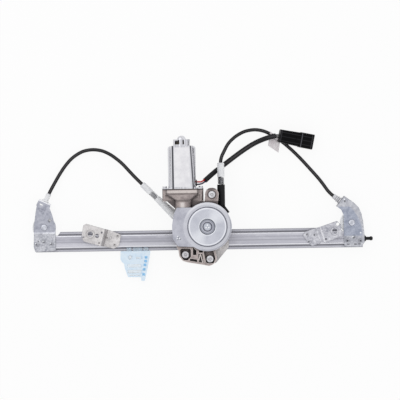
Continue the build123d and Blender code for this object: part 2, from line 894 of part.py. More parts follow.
ear_radius, ear_offset, ear_height, ear_side, ear_low = 3.6, 25.0, 8.0, 0.8, 5.4
brush_room_radius, brush_room_low = 13.0, 13.0
ear_left_x, ear_right_x = motor_x - ear_offset + ear_side, motor_x + ear_offset + ear_side
gusset_sheet = 6.0
left_gusset = [(-53.0, 8.0), (-38.0, -6.0), (-30.0, -6.0), (-30.0, 8.0), (-45.0, 16.0), (-53.0, 16.0)]
right_gusset = [
    (-4.0, 8.0), (6.0, 2.0), (4.0, -6.0), (-20.0, -6.0), (-20.0, 8.0), (-12.0, 16.0), (-4.0, 16.0)
]
upper_boss_radius = 9.6
upper_boss_web = [(2.6, 12.0), (0.5, -2.0), (19.5, -4.0), (21.4, 12.0)]
rib_bay = [(-8.0, -68.2), (-2.6, -68.2), (-0.8, -80.6), (-8.2, -79.4)]
rib_line = [(-8.6, -80.4), (-5.2, -68.0), (-1.8, -81.4)]
rib_bay_depth, rib_width = 4.0, 1.2
can_screw_hole_depth = 12.0
pocket_seat = dict(zip(("a", "b", "c"), screw_head_heights))
left_screw_pocket = [
    (-33.4, -60.4), (-18.3, -60.4), (-18.3, -72.0), (-23.0, -77.0), (-28.5, -76.5), (-33.0, -70.0)
]
right_screw_pocket = [
    (-0.8, -64.0), (13.2, -64.0), (15.6, -75.0), (13.2, -81.6), (2.6, -81.0), (0.6, -72.0)
]
deep_pocket = [(-15.5, -59.2), (-10.6, -63.0), (-10.6, -69.6), (-15.5, -69.6)]
dark_pocket = [(-7.6, -63.2), (-1.5, -63.6), (-1.8, -66.4), (-7.1, -66.4)]
edge_pocket = [(-19.8, -74.3), (-10.1, -75.9), (-9.4, -79.6), (-19.9, -77.4)]
pockets = (
    (pocket_seat["b"], left_screw_pocket, 3.0),
    (30.0, deep_pocket, 0.6),
    (27.5, dark_pocket, 0.5),
    (pocket_seat["c"], right_screw_pocket, 2.0),
    (34.0, edge_pocket, 0.5),
)
can_screw_radius = 1.6

with BuildPart() as gear_housing:
    with BuildSketch(Plane.XY.offset(gear_back)):
        with Locations((gear_x, gear_y)):
            Circle(case_radius)
        add(rounded_outline(worm_side_outline, 2.0))
    extrude(amount=gear_case_depth)
    with BuildSketch(Plane.XY.offset(gear_back)):
        add(rounded_outline(lower_mount_outline, 2.5))
    extrude(amount=lower_mount_front - gear_back)
    # the upper screw boss and its web
    with BuildSketch(Plane.XY.offset(gear_back)):
        with Locations(screw_points[0]):
            Circle(upper_boss_radius)
        with BuildLine():
            Polyline(*upper_boss_web, close=True)
        make_face()
    extrude(amount=pocket_seat["a"] - gear_back)
    # the neck, the funnel and the motor flange
    with BuildSketch(Plane.XZ.offset(-neck_low)):
        with Locations((motor_x + neck_side, motor_height)):
            RectangleRounded(neck_width, neck_height, neck_corner)
    extrude(amount=neck_low - neck_high)
    with BuildSketch(Plane.XZ.offset(-neck_high)):
        with Locations((motor_x + neck_side, motor_height)):
            RectangleRounded(neck_width, neck_height, neck_corner)
    with BuildSketch(Plane.XZ.offset(-flange_body_low)):
        with Locations((motor_x, motor_height)):
            RectangleRounded(flange_body_width, flange_body_height, neck_corner)
    loft()
    with BuildSketch(Plane.XZ.offset(-flange_body_low)):
        with Locations((motor_x, motor_height)):
            RectangleRounded(flange_body_width, flange_body_height, neck_corner)
        with Locations(((ear_left_x + ear_right_x) / 2, motor_height)):
            Rectangle(ear_right_x - ear_left_x, ear_height)
    extrude(amount=flange_body_low - flange_high)
    with BuildSketch(Plane.XZ.offset(-ear_low)):
        with Locations((ear_left_x, motor_height), (ear_right_x, motor_height)):
            Circle(ear_radius)
    extrude(amount=ear_low - flange_high)
    # gussets from the ears back to the case
    with BuildSketch(Plane.XY.offset(motor_height - gusset_sheet / 2)):
        for outline in (left_gusset, right_gusset):
            with BuildLine():
                Polyline(*outline, close=True)
            make_face()
    extrude(amount=gusset_sheet)
    # the wheel's room, its bearing hole and the worm's tunnel
    with BuildSketch(Plane.XY.offset(gear_back + case_floor)):
        with Locations((gear_x, gear_y)):
            Circle(gear_room)
    extrude(amount=gear_case_depth, mode=Mode.SUBTRACT)
    with BuildSketch(Plane.XY.offset(gear_back)):
        with Locations((gear_x, gear_y)):
            Circle(bearing_hole_radius)
    extrude(amount=case_floor, mode=Mode.SUBTRACT)
    with BuildSketch(Plane.XZ.offset(-tunnel_low)):
        with Locations((motor_x, motor_height)):
            Circle(tunnel_radius)
    extrude(amount=tunnel_low - flange_high, mode=Mode.SUBTRACT)
    with BuildSketch(Plane.XZ.offset(-brush_room_low)):
        with Locations((motor_x, motor_height)):
            Circle(brush_room_radius)
    extrude(amount=brush_room_low - flange_high, mode=Mode.SUBTRACT)
    # pockets cored out of the lower mount
    for seat, outline, corner in pockets:
        with BuildSketch(Plane.XY.offset(seat)):
            add(rounded_outline(outline, corner))
        extrude(amount=lower_mount_front - seat, mode=Mode.SUBTRACT)
    # the shallow bay with its A-shaped rib
    with BuildSketch(Plane.XY.offset(lower_mount_front - rib_bay_depth)):
        with BuildLine():
            Polyline(*rib_bay, close=True)
        make_face()
        with BuildLine():
            Polyline(*rib_line)
        trace(line_width=rib_width, mode=Mode.SUBTRACT)
    extrude(amount=rib_bay_depth, mode=Mode.SUBTRACT)
    with BuildSketch(Plane.XY.offset(gear_back)):
        with Locations(*screw_points):
            Circle(screw_radius + screw_gap)
    extrude(amount=gear_case_depth, mode=Mode.SUBTRACT)
    with BuildSketch(Plane.XZ.offset(-flange_high)):
        with Locations((ear_left_x, motor_height), (ear_right_x, motor_height)):
            Circle(can_screw_radius)
    extrude(amount=can_screw_hole_depth, mode=Mode.SUBTRACT)
gear_housing.part.label = "gear_housing"
export_step(gear_housing.part, "parts/gear_housing.step")

# ================================================================ gear cover
cover_rim_radius = 33.9
cover_middle = cover_back + cover_sheet / 2
cup_height, hub_height = 3.0, 3.3
cup_front, hub_front = cover_back + cup_height, cover_back + hub_height
cup_radius, cup_foot_radius = 26.2, 27.8
recess_radius, hub_foot_radius, hub_top_radius = 11.6, 6.4, 5.2
stake_radius, stake_height = 1.0, 0.4

with BuildPart() as gear_cover:
    with BuildSketch(Plane.XY.offset(cover_back)):
        with Locations((gear_x, gear_y)):
            Circle(cover_rim_radius)
        add(rounded_outline(worm_side_outline, 2.0))
        with Locations((gear_x, gear_y)):
            Circle(cup_foot_radius, mode=Mode.SUBTRACT)
    extrude(amount=cover_sheet)
    with BuildSketch(Plane((gear_x, gear_y, 0), x_dir=(1, 0, 0), z_dir=(0, -1, 0))):
        add(
            bent_sheet(
                [
                    (0, hub_front),
                    (hub_top_radius, hub_front),
                    (hub_foot_radius, cover_middle + 0.4),
                    (recess_radius - 1.2, cover_middle + 0.4),
                    (recess_radius, cup_front),
                    (cup_radius, cup_front),
                    (cup_foot_radius - 0.2, cover_middle),
                    (cup_foot_radius + 2.0, cover_middle),
                ],
                0.8,
                cover_sheet,
            )
        )
    revolve(axis=Axis((gear_x, gear_y, 0), (0, 0, 1)))
    # three stakes on the hub, and three dimples at the worm's end
    with BuildSketch(Plane.XY.offset(hub_front + cover_sheet / 2)):
        with Locations((gear_x, gear_y)):
            with PolarLocations(2.2, 3, start_angle=90):
                Circle(stake_radius)
    extrude(amount=stake_height)
    with BuildSketch(Plane.XY.offset(cover_back + cover_sheet)):
        with Locations((-37.0, -46.6), (-33.4, -46.2), (-36.0, -43.4)):
            Circle(0.8)
    extrude(amount=stake_height)
gear_cover.part.label = "gear_cover"
export_step(gear_cover.part, "parts/gear_cover.step")

# ================================================================ gear train
hub_underside = hub_front - cover_sheet / 2
gear_axis = Axis((gear_x, gear_y, 0), (0, 0, 1))
gear_section = Plane((gear_x, gear_y, 0), x_dir=(1, 0, 0), z_dir=(0, -1, 0))

with BuildPart() as gear_spindle:
    with BuildSketch(Plane.XY.offset(plate_front)):
        with Locations((gear_x, gear_y)):
            Circle(spindle_radius)
    extrude(amount=hub_underside - plate_front)
gear_spindle.part.label = "gear_spindle"
export_step(gear_spindle.part, "parts/gear_spindle.step")

# ---------------------------------------------------------------- cable drum
drum_low = plate_front + drum_floor + moving_gap
drum_high = gear_back - moving_gap
drum_flange, drum_flange_radius = 0.9, 22.4
drum_root = drum_cable_radius - wire_radius - 0.35
drive_sleeve_radius, spline_radius, spline_width, splines = 6.5, 7.5, 2.4, 6

with BuildPart() as cable_drum:
    with BuildSketch(gear_section):
        add(
            turned(
                [
                    (drive_sleeve_radius + running_gap, drum_low),
                    (drum_flange_radius, drum_low),
                    (drum_flange_radius, drum_low + drum_flange),
                    (drum_root, drum_low + drum_flange),
                    (drum_root, drum_high - drum_flange),
                    (drum_flange_radius, drum_high - drum_flange),
                    (drum_flange_radius, drum_high),
                    (drive_sleeve_radius + running_gap, drum_high),
                ]
            )
        )
    revolve(axis=gear_axis)
    with BuildSketch(Plane.XY.offset(drum_low)):
        with Locations((gear_x, gear_y)):
            with PolarLocations(spline_radius / 2, splines):
                Rectangle(spline_radius + 2 * running_gap, spline_width + 2 * running_gap)
    extrude(amount=drum_high - drum_low, mode=Mode.SUBTRACT)
    # pockets that lighten the drum
    with BuildSketch(Plane.XY.offset(drum_high)):
        with Locations((gear_x, gear_y)):
            with PolarLocations(13.2, splines, start_angle=30):
                Circle(3.2)
    extrude(amount=drum_flange - (drum_high - drum_low), mode=Mode.SUBTRACT)
cable_drum.part.label = "cable_drum"
export_step(cable_drum.part, "parts/cable_drum.step")

# ---------------------------------------------------------------- drive plate, damper and worm wheel
drive_plate_low = gear_back + case_floor + moving_gap
drive_plate_high = drive_plate_low + 2.4
wheel_low, wheel_high = motor_height - wheel_face / 2, motor_height + wheel_face / 2
damper_inner, damper_outer, damper_depth = 10.5, 24.5, 5.0
lug_width, lugs, lug_high = 3.0, 3, wheel_low + 4.0
lug_inner, lug_outer = 13.0, 22.5
damper_gap = 0.1
wheel_hub_radius, wheel_hub_high = 8.0, cover_back - 0.6
wheel_root = wheel_pitch_radius - 1.25 * module
wheel_tip = wheel_pitch_radius + module
half_tooth = pi * module / 4 - backlash / 4
flank = tan(radians(pressure_angle))
tooth_lead = 0.5 * module / worm_pitch_radius / wheel_pitch_radius

with BuildPart() as drive_plate:
    with BuildSketch(Plane.XY.offset(drum_low + moving_gap)):
        with Locations((gear_x, gear_y)):
            Circle(drive_sleeve_radius)
            with PolarLocations(spline_radius / 2, splines):
                Rectangle(spline_radius, spline_width)
    extrude(amount=drive_plate_low - drum_low - moving_gap)
    with BuildSketch(Plane.XY.offset(drive_plate_low)):
        with Locations((gear_x, gear_y)):
            Circle(damper_outer)
    extrude(amount=drive_plate_high - drive_plate_low)
    with BuildSketch(Plane.XY.offset(drive_plate_high)):
        with Locations((gear_x, gear_y)):
            with PolarLocations((lug_inner + lug_outer) / 2, lugs, start_angle=60):
                Rectangle(lug_outer - lug_inner, lug_width)
    extrude(amount=lug_high - drive_plate_high)
    with BuildSketch(Plane.XY.offset(drum_low)):
        with Locations((gear_x, gear_y)):
            Circle(spindle_radius + running_gap)
    extrude(amount=lug_high, mode=Mode.SUBTRACT)
drive_plate.part.label = "drive_plate"
export_step(drive_plate.part, "parts/drive_plate.step")

with BuildPart() as rubber_damper:
    with BuildSketch(Plane.XY.offset(drive_plate_high)):
        with Locations((gear_x, gear_y)):
            Circle(damper_outer - damper_gap)
            Circle(damper_inner + damper_gap, mode=Mode.SUBTRACT)
    extrude(amount=wheel_low + damper_depth - damper_gap - drive_plate_high)
    with BuildSketch(Plane.XY.offset(drive_plate_high)):
        with Locations((gear_x, gear_y)):
            with PolarLocations((lug_inner + lug_outer) / 2, lugs, start_angle=60):
                Rectangle(lug_outer - lug_inner, lug_width)
    extrude(amount=lug_high - drive_plate_high, mode=Mode.SUBTRACT)
    with BuildSketch(Plane.XY.offset(wheel_low)):
        with Locations((gear_x, gear_y)):
            with PolarLocations((damper_inner + damper_outer) / 2, lugs):
                Rectangle(damper_outer - damper_inner + 4.0, lug_width + 2 * damper_gap)
    extrude(amount=damper_depth, mode=Mode.SUBTRACT)
rubber_damper.part.label = "rubber_damper"
export_step(rubber_damper.part, "parts/rubber_damper.step")


def wheel_section(turn):
    """The worm wheel's teeth in one plane, the whole ring turned by an angle."""
    points = []
    for tooth in range(wheel_teeth):
        middle = turn + 2 * pi * (tooth + 0.5) / wheel_teeth
        for radius, half in (
            (wheel_root, -half_tooth - 1.25 * module * flank),
            (wheel_tip, -half_tooth + module * flank),
            (wheel_tip, half_tooth - module * flank),
            (wheel_root, half_tooth + 1.25 * module * flank),
        ):
            angle = middle + half / radius
            points.append((gear_x + radius * cos(angle), gear_y + radius * sin(angle)))
    return turned(points)


with BuildPart() as worm_wheel:
    with BuildSketch(Plane.XY.offset(wheel_low)):
        add(wheel_section(-tooth_lead * wheel_face / 2))
    with BuildSketch(Plane.XY.offset(wheel_high)):
        add(wheel_section(tooth_lead * wheel_face / 2))
    loft(ruled=True)
    with BuildSketch(Plane.XY.offset(wheel_low)):
        with Locations((gear_x, gear_y)):
            Circle(damper_outer)
            Circle(damper_inner, mode=Mode.SUBTRACT)
            with PolarLocations((damper_inner + damper_outer) / 2, lugs):
                Rectangle(damper_outer - damper_inner + 4.0, lug_width, mode=Mode.SUBTRACT)
    extrude(amount=damper_depth, mode=Mode.SUBTRACT)
    with BuildSketch(Plane.XY.offset(wheel_high)):
        with Locations((gear_x, gear_y)):
            Circle(wheel_hub_radius)
    extrude(amount=wheel_hub_high - wheel_high)
    with BuildSketch(Plane.XY.offset(wheel_low)):
        with Locations((gear_x, gear_y)):
            Circle(spindle_radius + running_gap)
    extrude(amount=wheel_hub_high, mode=Mode.SUBTRACT)
worm_wheel.part.label = "worm_wheel"
export_step(worm_wheel.part, "parts/worm_wheel.step")

# ================================================================ motor
motor_axis = Axis((motor_x, 0, motor_height), (0, 1, 0))
motor_section = Plane((motor_x, 0, motor_height), x_dir=(1, 0, 0), z_dir=(0, 0, 1))


def across_motor(along):
    """A plane across the motor's shaft, looking towards the cap."""
    return Plane((motor_x, along, motor_height), x_dir=(1, 0, 0), z_dir=(0, -1, 0))


# ---------------------------------------------------------------- worm and armature
worm_lead = pi * module
worm_half_length = 4 * worm_lead
worm_root = worm_pitch_radius - 1.25 * module
shaft_low, shaft_high = tunnel_low + 4.0, 90.0
core_low, core_high, core_radius = 36.0, 70.0, 12.5
winding_length, winding_radius = 4.5, 11.0
commutator_low, commutator_high, commutator_radius = 23.5, 31.0, 6.0
slots, slot_width, slot_depth = 8, 1.6, 5.0

with BuildPart() as armature_shaft:
    with BuildSketch(across_motor(shaft_low)):
        Circle(shaft_radius)
    extrude(amount=shaft_low - shaft_high)
armature_shaft.part.label = "armature_shaft"
export_step(armature_shaft.part, "parts/armature_shaft.step")

with BuildPart() as worm:
    with BuildSketch(across_motor(gear_y - worm_half_length - worm_lead / 2)):
        Circle(worm_root)
    extrude(amount=-2 * worm_half_length - worm_lead)
    with BuildLine() as thread:
        Helix(
            pitch=worm_lead,
            height=2 * worm_half_length,
            radius=worm_pitch_radius,
            center=(motor_x, gear_y - worm_half_length - worm_lead / 4, motor_height),
            direction=(0, 1, 0),
        )
    # the thread starts above the shaft, a quarter turn before the wheel's side
    with BuildSketch(Plane(origin=thread.line @ 0, x_dir=(0, 0, 1), z_dir=(-1, 0, 0))):
        with BuildLine():
            Polyline(
                (-1.3 * module, -half_tooth - 1.3 * module * flank),
                (module, -half_tooth + module * flank),
                (module, half_tooth - module * flank),
                (-1.3 * module, half_tooth + 1.3 * module * flank),
                close=True,
            )
        make_face()
    sweep(path=thread.line, is_frenet=True)
    with BuildSketch(across_motor(shaft_low)):
        Circle(shaft_radius)
    extrude(amount=shaft_low - shaft_high, mode=Mode.SUBTRACT)
worm.part.label = "worm"
export_step(worm.part, "parts/worm.step")

with BuildPart() as armature_core:
    with BuildSketch(across_motor(core_low)):
        Circle(core_radius)
        with PolarLocations(core_radius - slot_depth / 2, slots):
            Rectangle(slot_depth + 1.0, slot_width, mode=Mode.SUBTRACT)
        Circle(shaft_radius, mode=Mode.SUBTRACT)
    extrude(amount=core_low - core_high)
armature_core.part.label = "armature_core"
export_step(armature_core.part, "parts/armature_core.step")

with BuildPart() as armature_windings:
    for low, high in ((core_low - winding_length, core_low), (core_high, core_high + winding_length)):
        with BuildSketch(across_motor(low)):
            Circle(winding_radius)
            Circle(shaft_radius, mode=Mode.SUBTRACT)
        extrude(amount=low - high)
armature_windings.part.label = "armature_windings"
export_step(armature_windings.part, "parts/armature_windings.step")

with BuildPart() as commutator:
    with BuildSketch(across_motor(commutator_low)):
        Circle(commutator_radius)
        Circle(shaft_radius, mode=Mode.SUBTRACT)
    extrude(amount=commutator_low - commutator_high)
commutator.part.label = "commutator"
export_step(commutator.part, "parts/commutator.step")

# ---------------------------------------------------------------- bushes
neck_bush_low, neck_bush_high = -8.0, 2.0
cap_bush_low, cap_bush_high = 82.6, 88.2
with BuildPart() as shaft_bushes:
    for low, high, radius in (
        (tunnel_low, shaft_low, tunnel_radius),
        (neck_bush_low, neck_bush_high, tunnel_radius),
        (cap_bush_low, cap_bush_high, cap_radius - can_wall),
    ):
        with BuildSketch(across_motor(low)):
            Circle(radius)
            if low != tunnel_low:
                Circle(shaft_radius + running_gap, mode=Mode.SUBTRACT)
        extrude(amount=low - high)
shaft_bushes.part.label = "shaft_bushes"
export_step(shaft_bushes.part, "parts/shaft_bushes.step")

# ---------------------------------------------------------------- motor can
ear_sheet = 1.6
shoulder = 4.2
dome_radius = 6.1
window_low, window_high = 84.2, 90.6
grommet_low, grommet_high, grommet_height, grommet_drop = 26.0, 35.0, 8.0, 3.4
grommet_inside, grommet_outside = 2.9, 1.3
grommet_left = motor_x + can_radius - grommet_inside
grommet_right = motor_x + can_radius + grommet_outside


def can_profile(inset):
    """Half of the can's section: the can, its shoulder, the bearing cap and the dome."""
    with BuildSketch() as section:
        with BuildLine():
            Polyline(
                (0, cap_dome_high - inset),
                (0, can_low),
                (can_radius - inset, can_low),
                (can_radius - inset, can_high - shoulder),
            )
            ThreePointArc(
                (can_radius - inset, can_high - shoulder),
                (can_radius - inset - 0.3 * shoulder, can_high - inset - 0.3 * shoulder + 0.3 * inset),
                (can_radius - shoulder, can_high - inset),
            )
            Polyline(
                (can_radius - shoulder, can_high - inset),
                (cap_radius - inset, can_high - inset),
                (cap_radius - inset, cap_high - inset),
                (dome_radius - inset, cap_high - inset),
            )
            ThreePointArc(
                (dome_radius - inset, cap_high - inset),
                (0.72 * (dome_radius - inset), cap_high - inset + 0.7 * (cap_dome_high - cap_high)),
                (0, cap_dome_high - inset),
            )
        make_face()
    return section.sketch


with BuildPart() as can_room:
    with BuildSketch(motor_section):
        add(can_profile(can_wall))
    revolve(axis=motor_axis)
    with BuildSketch(across_motor(can_low)):
        Rectangle(2 * can_radius, can_flat - 2 * can_wall)
    extrude(amount=can_low - cap_dome_high, mode=Mode.INTERSECT)

with BuildPart() as motor_can:
    with BuildSketch(motor_section):
        add(can_profile(0))
    revolve(axis=motor_axis)
    with BuildSketch(across_motor(can_low)):
        Rectangle(2 * can_radius, can_flat)
    extrude(amount=can_low - cap_dome_high, mode=Mode.INTERSECT)
    with BuildSketch(across_motor(can_low)):
        RectangleRounded(flange_body_width, flange_body_height, neck_corner)
        with Locations(((ear_left_x + ear_right_x) / 2 - motor_x, 0)):
            SlotOverall(ear_right_x - ear_left_x + 2 * ear_radius, 2 * ear_radius)
        with Locations((ear_left_x - motor_x, 0), (ear_right_x - motor_x, 0)):
            Circle(can_screw_radius, mode=Mode.SUBTRACT)
    extrude(amount=-ear_sheet)
    add(can_room.part, mode=Mode.SUBTRACT)
    # windows in the bearing cap
    with BuildSketch(Plane.XY.offset(motor_height)):
        with Locations((motor_x - 6.0, (window_low + window_high) / 2)):
            Rectangle(6.4, window_high - window_low)
        with Locations((motor_x + 2.6, (window_low + window_high) / 2)):
            Rectangle(2.2, window_high - window_low)
    extrude(amount=can_radius, mode=Mode.SUBTRACT)
    # the notch that the wire grommet fills
    with BuildSketch(Plane.YZ.offset(grommet_left)):
        with Locations(((grommet_low + grommet_high) / 2, motor_height - grommet_drop)):
            RectangleRounded(grommet_high - grommet_low, grommet_height, 1.5)
    extrude(amount=can_radius, mode=Mode.SUBTRACT)
motor_can.part.label = "motor_can"
export_step(motor_can.part, "parts/motor_can.step")

can_screw_head, can_screw_length = 2.2, 11.0
with BuildPart() as can_screws:
    with BuildSketch(across_motor(can_low + ear_sheet)):
        with Locations((ear_left_x - motor_x, 0), (ear_right_x - motor_x, 0)):
            Circle(can_screw_radius)
    extrude(amount=can_screw_length)
    with BuildSketch(across_motor(can_low + ear_sheet)):
        with Locations((ear_left_x - motor_x, 0), (ear_right_x - motor_x, 0)):
            Circle(ear_radius - 0.6)
    extrude(amount=-can_screw_head)
can_screws.part.label = "can_screws"
export_step(can_screws.part, "parts/can_screws.step")

# ---------------------------------------------------------------- magnets, brush card
magnet_low, magnet_high, magnet_gap, magnet_rim = 36.0, 72.0, 0.6, 11.0
with BuildPart() as motor_magnets:
    with BuildSketch(across_motor(magnet_low)):
        Circle(can_radius - can_wall)
        Circle(core_radius + magnet_gap, mode=Mode.SUBTRACT)
        with Locations((0, can_radius), (0, -can_radius)):
            Rectangle(2 * can_radius, 2 * (can_radius - magnet_rim), mode=Mode.SUBTRACT)
    extrude(amount=magnet_low - magnet_high)
motor_magnets.part.label = "motor_magnets"
export_step(motor_magnets.part, "parts/motor_magnets.step")

card_low, card_high, card_hole = 28.6, 30.6, 7.5
brush_length, brush_width, brush_gap = 7.0, 4.0, 0.3
with BuildPart() as brush_card:
    with BuildSketch(across_motor(card_low - 6.0)):
        Rectangle(2 * (commutator_radius + brush_gap + brush_length), brush_width)
        Rectangle(2 * (commutator_radius + brush_gap), brush_width, mode=Mode.SUBTRACT)
    extrude(amount=-6.0)
    with BuildSketch(across_motor(card_low)):
        Circle(can_radius - can_wall)
        Circle(card_hole, mode=Mode.SUBTRACT)
        with Locations((0, can_radius), (0, -can_radius)):
            Rectangle(2 * can_radius, 2 * (can_radius - can_flat / 2 + can_wall), mode=Mode.SUBTRACT)
        with Locations((can_radius, -grommet_drop)):
            Rectangle(6.0, grommet_height, mode=Mode.SUBTRACT)
    extrude(amount=card_low - card_high)
brush_card.part.label = "brush_card"
export_step(brush_card.part, "parts/brush_card.step")

# ---------------------------------------------------------------- wire grommet and the motor's blank label
lead_radius = 1.1
lead_exits = ((32.0, motor_height - grommet_drop), (28.4, motor_height - grommet_drop))
with BuildPart() as wire_grommet:
    with BuildSketch(Plane.YZ.offset(grommet_left)):
        with Locations(((grommet_low + grommet_high) / 2, motor_height - grommet_drop)):
            RectangleRounded(grommet_high - grommet_low, grommet_height, 1.5)
    extrude(amount=grommet_right - grommet_left)
    with BuildSketch(Plane.YZ.offset(grommet_left)):
        with Locations(*lead_exits):
            Circle(lead_radius)
    extrude(amount=grommet_right - grommet_left, mode=Mode.SUBTRACT)
wire_grommet.part.label = "wire_grommet"
export_step(wire_grommet.part, "parts/wire_grommet.step")

label_width, label_low, label_high, label_sheet = 21.6, 25.2, 80.0, 0.2
with BuildPart() as motor_label:
    with BuildSketch(Plane.XY.offset(motor_height + can_flat / 2)):
        with Locations((motor_x, (label_low + label_high) / 2)):
            Rectangle(label_width, label_high - label_low)
    extrude(amount=label_sheet)
motor_label.part.label = "motor_label"
export_step(motor_label.part, "parts/motor_label.step")

# ================================================================ glass carriage
carriage_outline = [
    (-117.3, -63.7),
    (-117.5, -74.8),
    (-115.8, -78.3),
    (-112.4, -81.2),
    (-111.8, -86.8),
    (-107.4, -99.9),
    (-88.9, -100.2),
    (-88.7, -105.4),
    (-83.9, -105.4),
    (-78.0, -78.9),
    (-75.3, -63.7),
]
slide_gap = 0.3
back_plate_front = lip_back - slide_gap
jaw_back, jaw_front = lip_front + slide_gap, lip_front + slide_gap + 2.0
jaw_edge = rail_y - wall_outer - slide_gap
jaws = ((-108.9, -102.2), (-99.4, -86.8), (-85.0, -78.5))
block_left, block_right = -108.0, -86.0
wire_y = pulley_y - pulley_cable_radius
block_edge = rail_y + wall_inner - moving_gap
nipple_radius, nipple_length, nipple_inset = 1.6, 7.0, 0.5
pin_bore_radius, pin_bore_depth = 3.2, 5.5
pin_bore_point = (-104.0, -72.2)
pocket_floor = 2.0
plate_top_y = rail_y + lip_edge - 1.0

with BuildPart() as carriage:
    with BuildSketch(Plane.XY.offset(carriage_back)):
        add(rounded_outline(carriage_outline, 0.8))
    extrude(amount=carriage_front - carriage_back)
    with BuildSketch(Plane.XY.offset(carriage_back)):
        with BuildLine():
            Polyline(
                (-116.0, -66.0), (-112.0, plate_top_y), (-80.0, plate_top_y), (-76.5, -66.0), close=True
            )
        make_face()
    extrude(amount=back_plate_front - carriage_back)
    for left, right in jaws:
        with BuildSketch(Plane.XY.offset(jaw_back)):
            with BuildLine():
                Polyline((left, jaw_edge), (right, jaw_edge), (right, -66.0), (left, -66.0), close=True)
            make_face()
        extrude(amount=jaw_front - jaw_back)
    with BuildSketch(Plane.XY.offset(carriage_back)):
        with BuildLine():
            Polyline(
                (block_left, rail_y - wall_inner + slide_gap),
                (block_right, rail_y - wall_inner + slide_gap),
                (block_right, block_edge),
                (block_left, block_edge),
                close=True,
            )
        make_face()
    extrude(amount=web_back - moving_gap - carriage_back)
    # the groove that the cable and its two nipples lie in, open to the side
    with BuildSketch(Plane.YZ.offset(block_left)):
        with Locations((wire_y, cable_height)):
            Circle(conduit_bore)
        with Locations((block_edge, cable_height)):
            Rectangle(2 * (block_edge - wire_y), 2 * conduit_bore)
    extrude(amount=block_right - block_left, mode=Mode.SUBTRACT)
    for left in (block_left + nipple_inset, block_right - nipple_inset - nipple_length):
        with BuildSketch(Plane.YZ.offset(left)):
            with Locations((wire_y, cable_height)):
                Circle(nipple_radius)
            with Locations((block_edge, cable_height)):
                Rectangle(2 * (block_edge - wire_y), 2 * nipple_radius)
        extrude(amount=nipple_length, mode=Mode.SUBTRACT)
    # the bore for the glass clamp's pin
    with BuildSketch(Plane.XY.offset(carriage_front)):
        with Locations(pin_bore_point):
            Circle(pin_bore_radius)
    extrude(amount=-pin_bore_depth, mode=Mode.SUBTRACT)
    with BuildSketch(Plane.XY):
        with Locations(pin_bore_point):
            Circle(1.0)
    extrude(amount=carriage_front, mode=Mode.SUBTRACT)
    # moulded pockets between the ribs
    with BuildSketch(Plane.XY.offset(pocket_floor)):
        with Locations((-91.6, -73.1)):
            Rectangle(8.9, 3.0)
        with Locations((-97.8, -84.2), (-97.6, -92.2)):
            Rectangle(20.4, 5.0)
        with Locations((-97.6, -97.6)):
            Rectangle(16.0, 1.8)
        with Locations((-81.6, -72.6), (-82.2, -77.8), (-83.3, -83.1), (-84.5, -89.4), (-85.4, -96.4)):
            RectangleRounded(3.8, 3.6, 0.6)
    extrude(amount=carriage_front - pocket_floor, mode=Mode.SUBTRACT)
    with BuildSketch(Plane.XY.offset(carriage_front)):
        with Locations((-96.3, -68.7), (-88.4, -68.8)):
            Circle(0.9)
    extrude(amount=stake_height)
carriage.part.label = "carriage"
export_step(carriage.part, "parts/carriage.step")

with BuildPart() as cable_nipples:
    for left in (block_left + nipple_inset, block_right - nipple_inset - nipple_length):
        with BuildSketch(Plane.YZ.offset(left)):
            with Locations((wire_y, cable_height)):
                Circle(nipple_radius)
                Circle(conduit_bore, mode=Mode.SUBTRACT)
        extrude(amount=nipple_length)
cable_nipples.part.label = "cable_nipples"
export_step(cable_nipples.part, "parts/cable_nipples.step")

# ================================================================ conduits and cables
end_bore_depth = 6.0
fitting_bottom = barrel_length - socket_depth


def tube(route, radius):
    """A round cord along its route: straight runs joined by arcs."""
    with BuildPart() as cord:
        with BuildLine() as path:
            FilletPolyline(*route, radius=corner_radii(route))
        with BuildSketch(Plane(origin=path.line @ 0, z_dir=path.line % 0)):
            Circle(radius)
        sweep()
    length = sum(edge.length for edge in path.line.edges())
    print(
        f"cord radius {radius}: length {length:.1f}, arcs from {min(corner_radii(route)):.1f},"
        f" volume {cord.part.volume:.1f} of {pi * radius**2 * length:.1f}"
    )
    return cord.part


def on_line(start, direction, distance):
    """A point on a cable's straight line."""
    return tuple(start + direction * distance)


left_route = [
    on_line(left_tangent, left_line, left_tube_end - tube_socket),
    on_line(left_tangent, left_line, left_tube_end + 13.0),
    (-113.9, 61.0, 16.4),
    (-128.0, 72.0, 12.2),
    (-140.5, 78.3, 8.6),
    (-154.8, 80.4, 5.4),
    (-169.1, 78.0, 3.2),
    (-183.5, 69.3, conduit_radius),
    (-194.4, 57.0, conduit_radius),
    (-203.6, 42.8, 3.4),
    on_line(left_flange_point, left_up, 19.0),
    on_line(left_flange_point, left_up, fitting_bottom),
]
right_route = [
    on_line(right_tangent, right_line, right_tube_end - tube_socket),
    on_line(right_tangent, right_line, right_tube_end + 6.0),
    (36.0, 85.5, 17.3),
    (46.9, 95.5, 14.5),
    (59.5, 102.3, 11.4),
    (73.8, 104.6, 8.2),
    (86.4, 102.6, 5.8),
    (98.0, 97.0, 4.4),
    (113.0, 86.5, 3.0),
    (126.0, 75.0, conduit_radius),
    (138.5, 62.3, conduit_radius),
    (152.0, 47.0, 2.8),
    (165.0, 32.0, 3.8),
    on_line(right_flange_point, right_up, 19.0),
    on_line(right_flange_point, right_up, fitting_bottom),
]

